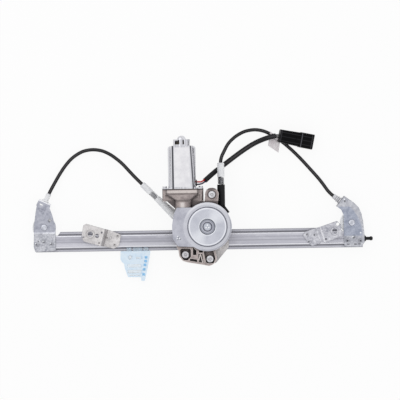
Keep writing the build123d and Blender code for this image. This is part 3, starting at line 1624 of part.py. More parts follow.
for side, route, start, line, tube_end, point, up in (
    ("left", left_route, left_tangent, left_line, left_tube_end, left_flange_point, left_up),
    ("right", right_route, right_tangent, right_line, right_tube_end, right_flange_point, right_up),
):
    with BuildPart() as conduit:
        add(tube(route, conduit_radius))
        with BuildSketch(facing(start, line, tube_end - tube_socket)):
            Circle(conduit_bore)
        extrude(amount=end_bore_depth, mode=Mode.SUBTRACT)
        with BuildSketch(facing(point, up, fitting_bottom)):
            Circle(conduit_bore)
        extrude(amount=end_bore_depth, mode=Mode.SUBTRACT)
    conduit.part.label = f"{side}_conduit"
    export_step(conduit.part, f"parts/{side}_conduit.step")

cable_meeting_x = (block_left + block_right) / 2
for side, start, line, tube_end, pulley_x, point, leave, up, wrap_start, wrap_end in (
    (
        "left", left_tangent, left_line, left_tube_end, left_pulley_x,
        left_flange_point, left_leave, left_up, left_fitting_angle + 90, 270.0,
    ),
    (
        "right", right_tangent, right_line, right_tube_end, right_pulley_x,
        right_flange_point, right_leave, right_up, right_fitting_angle - 90, -90.0,
    ),
):
    with BuildPart() as cable:
        with BuildSketch(facing(start, line)):
            Circle(wire_radius)
        extrude(amount=tube_end - tube_socket + end_bore_depth - 1.0)
        middle = radians((wrap_start + wrap_end) / 2)
        with BuildLine() as path:
            Line(point + up * (fitting_bottom + end_bore_depth - 1.0), leave)
            ThreePointArc(
                leave,
                (
                    pulley_x + pulley_cable_radius * cos(middle),
                    pulley_y + pulley_cable_radius * sin(middle),
                    cable_height,
                ),
                (pulley_x, wire_y, cable_height),
            )
            Line((pulley_x, wire_y, cable_height), (cable_meeting_x, wire_y, cable_height))
        with BuildSketch(Plane(origin=path.line @ 0, z_dir=path.line % 0)):
            Circle(wire_radius)
        sweep()
    cable.part.label = f"{side}_cable"
    export_step(cable.part, f"parts/{side}_cable.step")

# ================================================================ harness
connector_turn, connector_pitch = radians(-11.5), radians(8.6)
connector_half, connector_width, connector_height = 24.3, 21.2, 15.0
connector_middle = (131.5, 90.2, 11.1)
connector_along = Vector(
    cos(connector_pitch) * cos(connector_turn),
    cos(connector_pitch) * sin(connector_turn),
    -sin(connector_pitch),
)
connector_across = Vector(-sin(connector_turn), cos(connector_turn), 0)
collar_start = 5.0
mouth_depth, mouth_width, mouth_height = 15.0, 16.6, 10.4
seal_radius, seal_depth = 4.4, 5.0
lead_spacing = 1.3


def across_connector(along):
    """A plane across the connector, its x along the width and its y upwards."""
    return Plane(
        origin=Vector(*connector_middle) + connector_along * along,
        x_dir=connector_across,
        z_dir=connector_along,
    )


with BuildPart() as connector_housing:
    with BuildSketch(across_connector(-connector_half)):
        RectangleRounded(connector_width - 3.0, connector_height - 1.6, 4.0)
    with BuildSketch(across_connector(collar_start)):
        RectangleRounded(connector_width - 1.4, connector_height - 1.4, 2.5)
    loft()
    with BuildSketch(across_connector(collar_start)):
        RectangleRounded(connector_width, connector_height, 2.5)
    extrude(amount=connector_half - collar_start)
    with BuildSketch(across_connector(connector_half)):
        RectangleRounded(mouth_width, mouth_height, 1.5)
    extrude(amount=-mouth_depth, mode=Mode.SUBTRACT)
    # the latch ramp on top of the collar
    with BuildSketch(across_connector(collar_start - 6.0)):
        with Locations((0, connector_height / 2 - 0.6)):
            Rectangle(7.0, 1.6)
    extrude(amount=18.0)
    with BuildSketch(across_connector(-connector_half)):
        Circle(seal_radius)
    extrude(amount=seal_depth, mode=Mode.SUBTRACT)
connector_housing.part.label = "connector_housing"
export_step(connector_housing.part, "parts/connector_housing.step")

with BuildPart() as connector_seal:
    with BuildSketch(across_connector(-connector_half)):
        Circle(seal_radius)
        with Locations((-lead_spacing, 0), (lead_spacing, 0)):
            Circle(lead_radius, mode=Mode.SUBTRACT)
    extrude(amount=seal_depth)
connector_seal.part.label = "connector_seal"
export_step(connector_seal.part, "parts/connector_seal.step")

blade_width, blade_thickness, blade_length, blade_spacing = 2.8, 0.8, 10.0, 3.4
with BuildPart() as connector_terminals:
    with BuildSketch(across_connector(connector_half - mouth_depth)):
        with Locations((-blade_spacing, 0), (blade_spacing, 0)):
            Rectangle(blade_width, blade_thickness)
    extrude(amount=blade_length)
connector_terminals.part.label = "connector_terminals"
export_step(connector_terminals.part, "parts/connector_terminals.step")

sleeve_radius, sleeve_hollow, sleeve_hollow_depth = 3.5, 2.9, 5.0
sleeve_route = [
    (2.9, 33.8, 26.2),
    (12.0, 41.9, 18.2),
    (21.6, 49.6, 10.6),
    (32.2, 57.3, 5.0),
    (45.0, 66.9, sleeve_radius),
    (59.0, 76.8, 3.6),
    (72.5, 85.0, 4.9),
    (84.5, 90.2, 9.2),
    (95.0, 93.4, 13.4),
    (103.2, 95.1, 14.6),
]
sleeve_start, sleeve_next = Vector(*sleeve_route[0]), Vector(*sleeve_route[1])
sleeve_end, sleeve_before = Vector(*sleeve_route[-1]), Vector(*sleeve_route[-2])
sleeve_in = (sleeve_next - sleeve_start).normalized()
sleeve_out = (sleeve_before - sleeve_end).normalized()

with BuildPart() as harness_sleeve:
    add(tube(sleeve_route, sleeve_radius))
    with BuildSketch(Plane(origin=sleeve_start, z_dir=sleeve_in)):
        Circle(sleeve_hollow)
    extrude(amount=sleeve_hollow_depth, mode=Mode.SUBTRACT)
    with BuildSketch(Plane(origin=sleeve_end, z_dir=sleeve_out)):
        Circle(sleeve_hollow)
    extrude(amount=sleeve_hollow_depth, mode=Mode.SUBTRACT)
harness_sleeve.part.label = "harness_sleeve"
export_step(harness_sleeve.part, "parts/harness_sleeve.step")

lead_gap = 0.1
level = Vector(-sleeve_in.Y, sleeve_in.X, 0).normalized()
level_out = Vector(sleeve_out.Y, -sleeve_out.X, 0).normalized()
rear = Vector(*connector_middle) - connector_along * connector_half
with BuildPart() as harness_leads:
    for (exit_y, exit_z), side in zip(lead_exits, (1, -1)):
        mouth = sleeve_start + level * (side * lead_spacing)
        add(
            tube(
                [
                    (grommet_left, exit_y, exit_z),
                    (grommet_right + 3.0, exit_y, exit_z),
                    tuple(mouth - sleeve_in * 5.0),
                    tuple(mouth + sleeve_in * (sleeve_hollow_depth - lead_gap)),
                ],
                lead_radius,
            )
        )
        back = rear + connector_across * (side * lead_spacing)
        inside = sleeve_end + level_out * (side * lead_spacing)
        add(
            tube(
                [
                    tuple(back + connector_along * seal_depth),
                    tuple(back - connector_along * 3.0),
                    tuple(inside + sleeve_out * (sleeve_hollow_depth - lead_gap)),
                ],
                lead_radius,
            )
        )
harness_leads.part.label = "harness_leads"
export_step(harness_leads.part, "parts/harness_leads.step")

# ---------------------------------------------------------------- the blank flag round the right conduit
flag_length, flag_reach, flag_sheet = 15.0, 19.5, 0.3
flag_before, flag_after = Vector(*right_route[7]), Vector(*right_route[8])
flag_along = (flag_after - flag_before).normalized()
flag_middle = flag_before + (flag_after - flag_before) * 0.4
flag_fall = Vector(-0.15, -0.985, -0.02)
flag_up = flag_fall.cross(flag_along).normalized()
flag_start = flag_middle - flag_along * (flag_length / 2)
with BuildPart() as flag_label:
    add(tube(right_route, conduit_radius + flag_sheet))
    with BuildSketch(Plane(origin=flag_start, z_dir=flag_along)):
        Circle(2 * conduit_radius)
    extrude(amount=flag_length, mode=Mode.INTERSECT)
    # the leaf hangs from under the conduit
    with BuildSketch(
        Plane(origin=flag_start - flag_up * (conduit_radius + flag_sheet), x_dir=flag_along, z_dir=flag_up)
    ):
        with Locations((flag_length / 2, -flag_reach / 2)):
            Rectangle(flag_length, flag_reach)
    extrude(amount=flag_sheet)
    add(tube(right_route, conduit_radius), mode=Mode.SUBTRACT)
flag_label.part.label = "flag_label"
export_step(flag_label.part, "parts/flag_label.step")
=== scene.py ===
# %% [markdown]
# # A power window regulator, dressed and lit
# The part is a pressed steel rail with a sliding carriage, two cable pulleys, a worm gear motor
# and a short lead with a plug. Its rigid pieces come ready made from the CAD model, so the work
# here is of two kinds. Each piece gets the finish of the real one, and what is soft is modelled
# here: the motor's harness, its leads and the paper flag. Lengths are written in millimetres
# and multiplied by MM where Blender needs metres.

# %% Load the model, with a tool that measures a piece's box
import math
import bpy
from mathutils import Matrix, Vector


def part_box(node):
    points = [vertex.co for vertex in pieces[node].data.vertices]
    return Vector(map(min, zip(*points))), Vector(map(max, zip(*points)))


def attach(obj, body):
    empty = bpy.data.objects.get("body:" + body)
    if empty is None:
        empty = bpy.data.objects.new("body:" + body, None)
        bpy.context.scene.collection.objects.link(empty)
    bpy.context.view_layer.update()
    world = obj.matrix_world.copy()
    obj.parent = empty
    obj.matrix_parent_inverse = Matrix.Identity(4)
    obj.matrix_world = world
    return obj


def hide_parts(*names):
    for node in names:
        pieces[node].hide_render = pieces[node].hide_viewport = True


MM = 0.001


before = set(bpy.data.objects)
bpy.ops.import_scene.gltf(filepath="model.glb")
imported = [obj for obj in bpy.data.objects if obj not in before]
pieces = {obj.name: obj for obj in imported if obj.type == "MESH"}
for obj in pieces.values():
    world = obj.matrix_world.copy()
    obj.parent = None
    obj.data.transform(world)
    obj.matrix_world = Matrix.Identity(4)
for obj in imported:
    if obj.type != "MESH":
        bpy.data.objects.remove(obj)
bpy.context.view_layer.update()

# %% [markdown]
# ## Camera
# The regulator lies on its back and is seen from straight above. A long lens from three metres
# keeps the tall motor from leaning outwards. The camera is turned by a degree, because the part
# does not lie quite level in the frame. It is an ordinary perspective camera, so that it can be
# walked round the part later.

# %% Camera straight above, with a long lens
FRAME_PIXELS, PIXEL_SIZE = 400, 1.4 * MM
CAMERA_HEIGHT = 3.0
CAMERA_ROLL = 0.0165
MIDDLE_OF_VIEW = (-4.5, 6.7, 20.0)
eye = bpy.data.objects.new("eye", bpy.data.cameras.new("eye"))
bpy.context.scene.collection.objects.link(eye)
eye.location = Vector(MIDDLE_OF_VIEW) * MM + Vector((0, 0, CAMERA_HEIGHT))
eye.rotation_euler = (0, 0, -CAMERA_ROLL)
eye.data.sensor_width = 36.0
eye.data.lens = eye.data.sensor_width * CAMERA_HEIGHT / (FRAME_PIXELS * PIXEL_SIZE)
eye.data.clip_end = 20.0
bpy.context.scene.camera = eye
print("lens in mm:", round(eye.data.lens, 1))

# %% [markdown]
# ## The harness
# Two insulated leads leave a rubber grommet at the foot of the motor and run into a black
# protective sleeve. The sleeve comes down to the bench, lies on it and rises to the connector.
# It is a NURBS curve with a round bevel: one smooth line, with a few points that can still be
# moved by hand. The leads are curves as well, one for each.

# %% A curve with a round section
def wire_through(name, points, radius, roundness=6):
    """One smooth line through a few points in millimetres, with a round section.
    The points carry the radius, and the bevel of 1 m only scales it."""
    curve = bpy.data.curves.new(name, "CURVE")
    curve.dimensions = "3D"
    spline = curve.splines.new("NURBS")
    spline.points.add(len(points) - 1)
    for point, place in zip(spline.points, points):
        point.co = (*(Vector(place) * MM), 1.0)
        point.radius = radius * MM
    spline.order_u = 3
    spline.use_endpoint_u = True
    spline.resolution_u = 12
    curve.bevel_depth = 1.0
    curve.bevel_resolution = roundness
    curve.use_fill_caps = True
    wire = bpy.data.objects.new(name, curve)
    bpy.context.scene.collection.objects.link(wire)
    return wire

# %% The protective sleeve
SLEEVE_RADIUS, SLEEVE_ROUNDNESS = 3.5, 8
sleeve_points = [
    (2.9, 33.8, 26.2), (12.0, 41.9, 18.2), (21.6, 49.6, 10.6), (32.2, 57.3, 5.0),
    (45.0, 66.9, 3.5), (59.0, 76.8, 3.6), (72.5, 85.0, 4.9), (84.5, 90.2, 9.2),
    (95.0, 93.4, 13.4), (103.2, 95.1, 14.6),
]
sleeve = wire_through("motor_harness_sleeve", sleeve_points, SLEEVE_RADIUS, SLEEVE_ROUNDNESS)
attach(sleeve, "frame")
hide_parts("harness_sleeve")

# %% Where the leads start and end
LEAD_RADIUS = 1.1
LEAD_SPACING = 1.3
LEAD_TUCK = 4.9
LEAD_STRAIGHT = 5.0
LEAD_BEHIND_PLUG = 3.0
GROMMET_X, GROMMET_MOUTH_X, GROMMET_HEIGHT = -12.5, -5.3, 33.0
CONNECTOR_REAR = 24.3
connector_middle = Vector((131.5, 90.2, 11.1))
turn, dip = math.radians(-11.5), math.radians(8.6)
level = Vector((math.cos(turn), math.sin(turn), 0))
connector_along = level * math.cos(dip) - Vector((0, 0, math.sin(dip)))
connector_across = Vector((-math.sin(turn), math.cos(turn), 0))
connector_rear = connector_middle - connector_along * CONNECTOR_REAR
sleeve_start, sleeve_end = Vector(sleeve_points[0]), Vector(sleeve_points[-1])
into_sleeve = (Vector(sleeve_points[1]) - sleeve_start).normalized()
back_in_sleeve = (Vector(sleeve_points[-2]) - sleeve_end).normalized()
beside_start = Vector((-into_sleeve.y, into_sleeve.x, 0)).normalized()
beside_end = Vector((back_in_sleeve.y, -back_in_sleeve.x, 0)).normalized()
print("connector's rear in mm:", [round(v, 1) for v in connector_rear])

# %% The two leads at each end of the sleeve
leads = []
for name, exit_y, side in (("red", 32.0, 1), ("blue", 28.4, -1)):
    off_middle = side * LEAD_SPACING
    mouth = sleeve_start + beside_start * off_middle
    leads.append(wire_through(name + "_lead_motor_end", [
        (GROMMET_X, exit_y, GROMMET_HEIGHT), (GROMMET_MOUTH_X, exit_y, GROMMET_HEIGHT),
        mouth - into_sleeve * LEAD_STRAIGHT, mouth + into_sleeve * LEAD_TUCK,
    ], LEAD_RADIUS))
    rear = connector_rear + connector_across * off_middle
    inside = sleeve_end + beside_end * off_middle
    leads.append(wire_through(name + "_lead_plug_end", [
        rear + connector_along * LEAD_STRAIGHT, rear - connector_along * LEAD_BEHIND_PLUG,
        inside + back_in_sleeve * LEAD_TUCK,
    ], LEAD_RADIUS))
for lead in leads:
    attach(lead, "frame")
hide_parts("harness_leads")
print("leads:", [lead.name for lead in leads])

# %% The sleeve's length
def length_of(wire):
    """The length of a curve's own line, in metres."""
    bevel, wire.data.bevel_depth = wire.data.bevel_depth, 0.0
    caps, wire.data.use_fill_caps = wire.data.use_fill_caps, False
    bpy.context.view_layer.update()
    evaluated = wire.evaluated_get(bpy.context.evaluated_depsgraph_get())
    line = bpy.data.meshes.new_from_object(evaluated)
    wire.data.bevel_depth, wire.data.use_fill_caps = bevel, caps
    places = [vertex.co.copy() for vertex in line.vertices]
    total = sum((places[a] - places[b]).length for a, b in (edge.vertices for edge in line.edges))
    bpy.data.meshes.remove(line)
    return total

sleeve_length = length_of(sleeve)
print("sleeve length in mm:", round(sleeve_length / MM, 1))

# %% [markdown]
# ## The paper flag
# A strip of thin paper is stuck round the right conduit and falls from it. It is blank. Real
# paper is never quite flat, so a subdivided plane is curled by moving its points and then given
# its thickness. The CAD flag is a flat leaf, which this one replaces.

# %% Tools for a new mesh piece
def nothing_selected():
    """Object mode, with nothing selected."""
    if bpy.context.object and bpy.context.object.mode != "OBJECT":
        bpy.ops.object.mode_set(mode="OBJECT")
    bpy.ops.object.select_all(action="DESELECT")


def only(piece):
    """Selects one piece and nothing else."""
    nothing_selected()
    piece.select_set(True)
    bpy.context.view_layer.objects.active = piece


def settled(piece):
    """Puts a piece's place, turn and size into its mesh, so that its object sits at the origin."""
    only(piece)
    bpy.ops.object.transform_apply(location=True, rotation=True, scale=True)
    return piece

# %% How the flag lies
FLAG_WIDTH, FLAG_REACH, PAPER_THICKNESS = 18.0, 17.5, 0.12
CONDUIT_RADIUS, PAPER_GAP = 2.45, 0.25
WRAP_SHARE, WRAP_START = 0.92, 0.5
FLAG_ALONG_CONDUIT = 0.3
LEAF_CURL, LEAF_RIPPLE = 0.55, 0.25
CREASE_ANGLE = math.radians(50)
conduit_before, conduit_after = Vector((98.0, 97.0, 4.4)), Vector((113.0, 86.5, 3.0))
flag_along = (conduit_after - conduit_before).normalized()
flag_middle = conduit_before.lerp(conduit_after, FLAG_ALONG_CONDUIT)
flag_fall = Vector((-0.15, -0.985, -0.02)).normalized()
flag_up = flag_fall.cross(flag_along).normalized()
wrap_radius = CONDUIT_RADIUS + PAPER_GAP
wrap_run = 2 * math.pi * wrap_radius * WRAP_SHARE


def round_conduit(run):
    """A place on the part of the strip that is wound round the conduit."""
    angle = run / wrap_radius + WRAP_START
    return (flag_fall * math.sin(angle) - flag_up * math.cos(angle)) * wrap_radius


def on_leaf(across, reach):
    """A place on the part that falls free: it leaves the wrap low, lifts and curls."""
    curl = LEAF_CURL * math.sin(reach * 0.33 + across * 0.12)
    curl += LEAF_RIPPLE * math.sin(across * 0.7)
    lift = 0.35 * min(reach, 3.0) + 0.6 + curl * min(reach / 6.0, 1.0) + 0.03 * reach
    return flag_fall * reach - flag_up * (wrap_radius - lift)

# %% The flag's leaf and its wrap
nothing_selected()
bpy.ops.mesh.primitive_grid_add(x_subdivisions=14, y_subdivisions=40, size=1.0)
flag = bpy.context.object
flag.name = "paper_flag"
for vertex in flag.data.vertices:
    across = vertex.co.x * FLAG_WIDTH
    run = (vertex.co.y + 0.5) * (wrap_run + FLAG_REACH)
    place = round_conduit(run) if run < wrap_run else on_leaf(across, run - wrap_run)
    vertex.co = (flag_middle + flag_along * across + place) * MM
paper = flag.modifiers.new("paper", "SOLIDIFY")
paper.thickness = PAPER_THICKNESS * MM
only(flag)
bpy.ops.object.modifier_apply(modifier="paper")
bpy.ops.object.shade_smooth_by_angle(angle=CREASE_ANGLE)
settled(flag)
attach(flag, "frame")
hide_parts("flag_label")
print("flag spans in mm:", [round(v / MM, 1) for v in flag.dimensions])

# %% [markdown]
# ## How a finish is built
# A finish is a Principled surface and a few texture nodes. The helpers below keep each recipe
# short: a colour as a paint chart writes it, a node with its inputs, a mottle, a mix, a bump.
# All patterns read Object coordinates, in metres, so they stay on the piece when it moves.

# %% Colours and nodes
def tone(red, green, blue):
    """A colour as a paint chart gives it, 0 to 255, in Blender's linear values."""
    def linear(value):
        value = value / 255
        return value / 12.92 if value <= 0.04045 else ((value + 0.055) / 1.055) ** 2.4
    return (linear(red), linear(green), linear(blue), 1.0)


def surface_of(finish):
    """The Principled surface of a finish."""
    return finish.node_tree.nodes["Principled BSDF"]


def new_finish(name, metal, rough, **plain):
    """A Principled surface with its plain numbers set on its own sockets."""
    finish = bpy.data.materials.new(name)
    finish.use_nodes = True
    for socket, value in {"Metallic": metal, "Roughness": rough, **plain}.items():
        surface_of(finish).inputs[socket.replace("_", " ")].default_value = value
    return finish


def fill(finish, socket, value):
    """Sets a socket, or joins it to an output."""
    if isinstance(value, bpy.types.NodeSocket):
        finish.node_tree.links.new(value, socket)
    else:
        socket.default_value = value


def node(finish, kind, settings=None, **inputs):
    """Adds a node; an input is a number, a colour or another node's output."""
    made = finish.node_tree.nodes.new("ShaderNode" + kind)
    for setting, value in (settings or {}).items():
        setattr(made, setting, value)
    for name, value in inputs.items():
        fill(finish, made.inputs[name.replace("_", " ")], value)
    return made


def arithmetic(finish, kind, operation, *values):
    """A Math or VectorMath node with its inputs in their order."""
    made = node(finish, kind, {"operation": operation})
    for socket, value in zip(made.inputs, values):
        fill(finish, socket, value)
    return made

# %% Numbers and shares
def reckon(finish, operation, a, b=0.0):
    """One step of arithmetic."""
    return arithmetic(finish, "Math", operation, a, b).outputs[0]


def span(finish, value, low, high, to_low=0.0, to_high=1.0):
    """Maps a value from one range to another and stops at the ends."""
    return node(
        finish, "MapRange", {"clamp": True}, Value=value,
        From_Min=low, From_Max=high, To_Min=to_low, To_Max=to_high,
    ).outputs[0]


def band(finish, value, low, high, soft=0.3):
    """1 between two places in millimetres, 0 outside them, with soft edges."""
    rise = span(finish, value, (low - soft) * MM, (low + soft) * MM)
    fall = span(finish, value, (high - soft) * MM, (high + soft) * MM, 1.0, 0.0)
    return reckon(finish, "MULTIPLY", rise, fall)


def all_of(finish, first, *others):
    """1 only where every share is 1."""
    for share in others:
        first = reckon(finish, "MULTIPLY", first, share)
    return first

# %% Places on a piece
def spot(finish, centre=(0, 0, 0), stretch=(1, 1, 1)):
    """Object coordinates measured from a centre in millimetres, and stretched."""
    place = node(finish, "TexCoord").outputs["Object"]
    moved = arithmetic(finish, "VectorMath", "SUBTRACT", place, Vector(centre) * MM)
    settings = {"vector_type": "POINT"}
    return node(finish, "Mapping", settings, Vector=moved.outputs[0], Scale=stretch).outputs[0]


def along_axis(finish, axis, centre=(0, 0, 0)):
    """One coordinate, in metres, measured from a centre in millimetres."""
    return node(finish, "SeparateXYZ", Vector=spot(finish, centre)).outputs["XYZ".index(axis)]


def along_way(finish, way, centre=(0, 0, 0)):
    """How far a place lies in a direction of its own, in metres."""
    return arithmetic(finish, "VectorMath", "DOT_PRODUCT", spot(finish, centre), way).outputs["Value"]


def from_upright(finish, centre):
    """How far a place is from an upright line through a centre, in metres."""
    level_place = spot(finish, centre, (1, 1, 0))
    return arithmetic(finish, "VectorMath", "LENGTH", level_place).outputs["Value"]


def facing_up(finish):
    """1 on faces that look straight up, 0 on upright ones, -1 on undersides."""
    normal = node(finish, "TexCoord").outputs["Normal"]
    return node(finish, "SeparateXYZ", Vector=normal).outputs[2]

# %% Patterns
def mottle(finish, size, detail=4.0, stretch=(1, 1, 1)):
    """A cloudy pattern from 0 to 1, its clouds about size millimetres across."""
    return node(
        finish, "TexNoise", Vector=spot(finish, stretch=stretch),
        Scale=1 / (size * MM), Detail=detail, Roughness=0.6,
    ).outputs[0]


def crystals(finish, size):
    """Cells about size millimetres across, as zinc grows them, each with its own shade."""
    cells = node(finish, "TexVoronoi", Vector=spot(finish), Scale=1 / (size * MM), Randomness=1.0)
    return node(finish, "SeparateColor", Color=cells.outputs["Color"]).outputs[0]


def bumps(finish, height, depth, strength=1.0, below=None):
    """Turns a pattern into bumps depth millimetres high, on top of other bumps."""
    made = node(finish, "Bump", Height=height, Distance=depth * MM, Strength=strength)
    if below is not None:
        fill(finish, made.inputs["Normal"], below)
    return made.outputs[0]

# %% Masks for painted shade and highlights: corners, edges, walls and tops
# Lays painted shade in corners and pockets.
def crevice(finish, reach, low=0.35, high=0.95):
    """1 deep in a corner or pocket, 0 on open faces; reach is in millimetres."""
    open_sky = node(finish, "AmbientOcclusion", {"samples": 8}, Distance=reach * MM)
    return span(finish, open_sky.outputs["AO"], low, high, 1.0, 0.0)


# Lays painted shade along edges and corners on some pieces, painted highlights on others.
def edge_mask(finish, reach, low=0.45, high=0.8):
    """1 on edges and corners that stand out, 0 on flat faces."""
    settings = {"samples": 8, "inside": True}
    solid = node(finish, "AmbientOcclusion", settings, Distance=reach * MM)
    return span(finish, solid.outputs["AO"], low, high, 1.0, 0.0)


# Lays painted shade on walls, and a painted highlight on one step.
def standing(finish, low=0.35, high=0.8):
    """1 on walls, bends and cut edges, 0 on faces that lie flat."""
    return span(finish, reckon(finish, "ABSOLUTE", facing_up(finish)), low, high, 1.0, 0.0)


def crest(finish, share):
    """A soft line of light along the top of anything round that lies flat."""
    return span(finish, facing_up(finish), 0.93, 1.0, 0.0, share)

# %% Painting one shade over another
def mixed(finish, share, first, second):
    """Mixes two colours by a share."""
    made = node(finish, "Mix", {"data_type": "RGBA"})
    for socket, value in ((0, share), (6, first), (7, second)):
        fill(finish, made.inputs[socket], value)
    return made.outputs[2]


def clouded(finish, cloud, low, high, dark, light):
    """A colour that goes from dark to light with a cloudy pattern."""
    return mixed(finish, span(finish, cloud, low, high), tone(*dark), tone(*light))


def over(finish, colour, where, shade, share=1.0):
    """Lays a shade over a colour, where one pattern is 1 and as strongly as its share."""
    if share != 1.0:
        where = reckon(finish, "MULTIPLY", where, share)
    return mixed(finish, where, colour, tone(*shade))


def stripes(finish, colour, measure, rows, soft=0.3, where=None):
    """Stripes or rings: each row gives a start and end in millimetres, a shade and a share."""
    for start, end, shade, share in rows:
        stripe = band(finish, measure, start, end, soft)
        if where is not None:
            stripe = all_of(finish, stripe, where)
        colour = over(finish, colour, stripe, shade, share)
    return colour


def dots(finish, colour, places, size, shade, share=1.0, soft=0.35):
    """Small round marks of a radius, at places given in millimetres."""
    for x, y in places:
        mark = band(finish, from_upright(finish, (x, y, 0)), -1.0, size, soft)
        colour = over(finish, colour, mark, shade, share)
    return colour

# %% Dressing a piece
def dress(finish, colour=None, rough=None, normal=None):
    """Joins a pattern to the surface's colour, roughness and bumps."""
    for socket, value in (("Base Color", colour), ("Roughness", rough), ("Normal", normal)):
        if value is not None:
            fill(finish, surface_of(finish).inputs[socket], value)


def painted(finish):
    """The colour that a finish has now, to be painted over."""
    return surface_of(finish).inputs["Base Color"].links[0].from_socket


def wear(finish, *names):
    """Gives one finish to several CAD pieces."""
    for name in names:
        slots = pieces[name].data.materials
        slots.clear()
        slots.append(finish)
    print(finish.name, "on", len(names))

# %% [markdown]
# ## Zinc-plated steel
# Rail, brackets and plate are pressed from galvanised sheet. Zinc looks like frost: small flat
# crystals, each a shade lighter or darker, under a cloudy film, with fine scratches from the
# press. Voronoi cells make the crystals, noise makes the clouds and the dull patches.

# %% Galvanised sheet
def zinc_sheet(name, light, dark, crystal, contrast, wall_shade_share=0.7):
    """Zinc with crystals of a size in millimetres, clouds and scratches, with painted shade in its
    corners, on its walls and folds, and along its edges. The wall shade share says how dark the painted
    shade on the walls and folds is."""
    finish = new_finish(name, 0.75, 0.38)
    clouds = mottle(finish, 16.0)
    scratches = mottle(finish, 0.7, 3.0)
    share = reckon(
        finish, "ADD", reckon(finish, "MULTIPLY", crystals(finish, crystal), contrast),
        span(finish, clouds, 0.35, 0.65, 0.0, 1.0 - contrast),
    )
    colour = mixed(finish, share, tone(*dark), tone(*light))
    colour = over(finish, colour, span(finish, scratches, 0.3, 0.42, 0.45, 0.0), (112, 113, 120))
    colour = over(finish, colour, span(finish, scratches, 0.62, 0.74, 0.0, 0.5), (232, 232, 236))
    # Painted shade in corners, on walls and folds, and along edges.
    colour = over(finish, colour, crevice(finish, 4.0), (76, 76, 82), 0.75)
    colour = over(finish, colour, standing(finish), (86, 86, 92), wall_shade_share)
    colour = over(finish, colour, edge_mask(finish, 1.2), (92, 92, 100), 0.6)
    dress(
        finish, colour, span(finish, clouds, 0.3, 0.7, 0.5, 0.3),
        bumps(finish, scratches, 0.02, 0.5, bumps(finish, clouds, 0.15, 0.3)),
    )
    return finish

# %% The brackets, each with its own shade
left_end_zinc = zinc_sheet("left_end_zinc", (212, 213, 219), (146, 148, 158), 2.2, 0.55)
right_end_zinc = zinc_sheet("right_end_zinc", (208, 209, 215), (150, 152, 162), 2.2, 0.5)
mount_zinc = zinc_sheet("mount_zinc", (224, 221, 221), (178, 175, 176), 2.6, 0.45, 0.15)
right_mount_zinc = zinc_sheet(
    "right_mount_zinc", (220, 220, 226), (146, 147, 158), 2.4, 0.5, 0.1,
)
wear(left_end_zinc, "left_end_bracket")
wear(right_end_zinc, "right_end_bracket")
wear(mount_zinc, "left_mounting_bracket", "motor_mounting_plate")
wear(right_mount_zinc, "right_mounting_bracket")

# %% [markdown]
# Above its fold each end bracket has been drawn over the die, which left the sheet smooth, dull
# and bluish. The outer rim of the right bracket stayed bright. A highlight is painted on the bent
# flange that holds the left conduit. Small dimples and holes are painted dark as painted shade,
# and most have a painted highlight beside them.

# %% The left end bracket's drawn panel, a painted highlight on its flange, and painted shade and highlights at its dimples
FOLD_LINE = -36.0
FLANGE_EDGES, ACROSS_FLANGE = (-88.0, -84.0), (0.42, 0.908, 0.0)
LEFT_SPOT_SHADES = [(-235.3, -52.2), (-224.6, -49.3), (-214.3, -52.0), (-232.0, -48.0)]
LEFT_SPOT_HIGHLIGHTS = [(-236.3, -50.7), (-225.7, -48.0), (-215.4, -50.6), (-230.8, -47.0)]
finish = left_end_zinc
above_fold = span(finish, along_axis(finish, "Y", (0, FOLD_LINE, 0)), 0.0, 1.5 * MM)
blue_film = clouded(finish, mottle(finish, 5.0, 5.0), 0.35, 0.65, (140, 143, 158), (180, 182, 194))
colour = mixed(finish, all_of(finish, above_fold, 0.7), painted(finish), blue_film)
# Dark dots are painted shade in small dimples; bright dots are painted highlights beside them.
colour = dots(finish, colour, LEFT_SPOT_SHADES, 1.0, (72, 73, 80), 0.8)
colour = dots(finish, colour, LEFT_SPOT_HIGHLIGHTS, 0.8, (244, 245, 248), 0.8)
# The bent flange gets a painted highlight.
flange = band(finish, along_way(finish, ACROSS_FLANGE), *FLANGE_EDGES)
dress(finish, over(finish, colour, flange, (244, 244, 248), 0.85))

# %% The right end bracket's drawn panel and rim, with painted shade and highlights at its dimples and hole
RIM_CENTRE, RIM_START = (169.7, -45.2, 0), 53.0
PANEL_LOW, PANEL_HIGH = -47.0, -6.0
RIGHT_SPOT_SHADES = [(201.4, -54.0), (220.1, -54.3), (210.3, -49.5), (198.8, 1.8)]
RIGHT_SPOT_HIGHLIGHTS = [(220.2, -42.9), (198.0, 4.4), (209.2, -48.2)]
finish = right_end_zinc
from_rim_centre = from_upright(finish, RIM_CENTRE)
inside_rim = span(finish, from_rim_centre, (RIM_START - 1) * MM, (RIM_START + 1) * MM, 1.0, 0.0)
panel = band(finish, along_axis(finish, "Y"), PANEL_LOW, PANEL_HIGH, 1.0)
blue_film = clouded(finish, mottle(finish, 5.0, 5.0), 0.35, 0.65, (132, 140, 160), (172, 178, 194))
colour = mixed(finish, all_of(finish, inside_rim, panel, 0.8), painted(finish), blue_film)
# Dark dots are painted shade in dimples and a hole; bright dots are painted highlights.
colour = dots(finish, colour, RIGHT_SPOT_SHADES, 1.2, (52, 53, 58), 0.85)
dress(finish, dots(finish, colour, RIGHT_SPOT_HIGHLIGHTS, 1.1, (246, 247, 250), 0.8))

# %% Painted shade at holes and dimples of the mounting brackets, painted highlights on the right one and along its step
LEFT_MOUNT_SPOT_SHADES = [
    (-167.9, -42.6), (-146.5, -51.1), (-135.7, -44.3), (-121.0, -41.8), (-125.5, -54.3),
]
RIGHT_MOUNT_SPOT_SHADES = [(144.8, -44.0), (147.2, -54.2), (155.0, -45.0)]
RIGHT_MOUNT_SHINE = [(183.1, -39.3), (163.0, -47.0), (161.0, -41.0)]
STEP_START, STEP_END = 157.0, 171.0
finish = mount_zinc
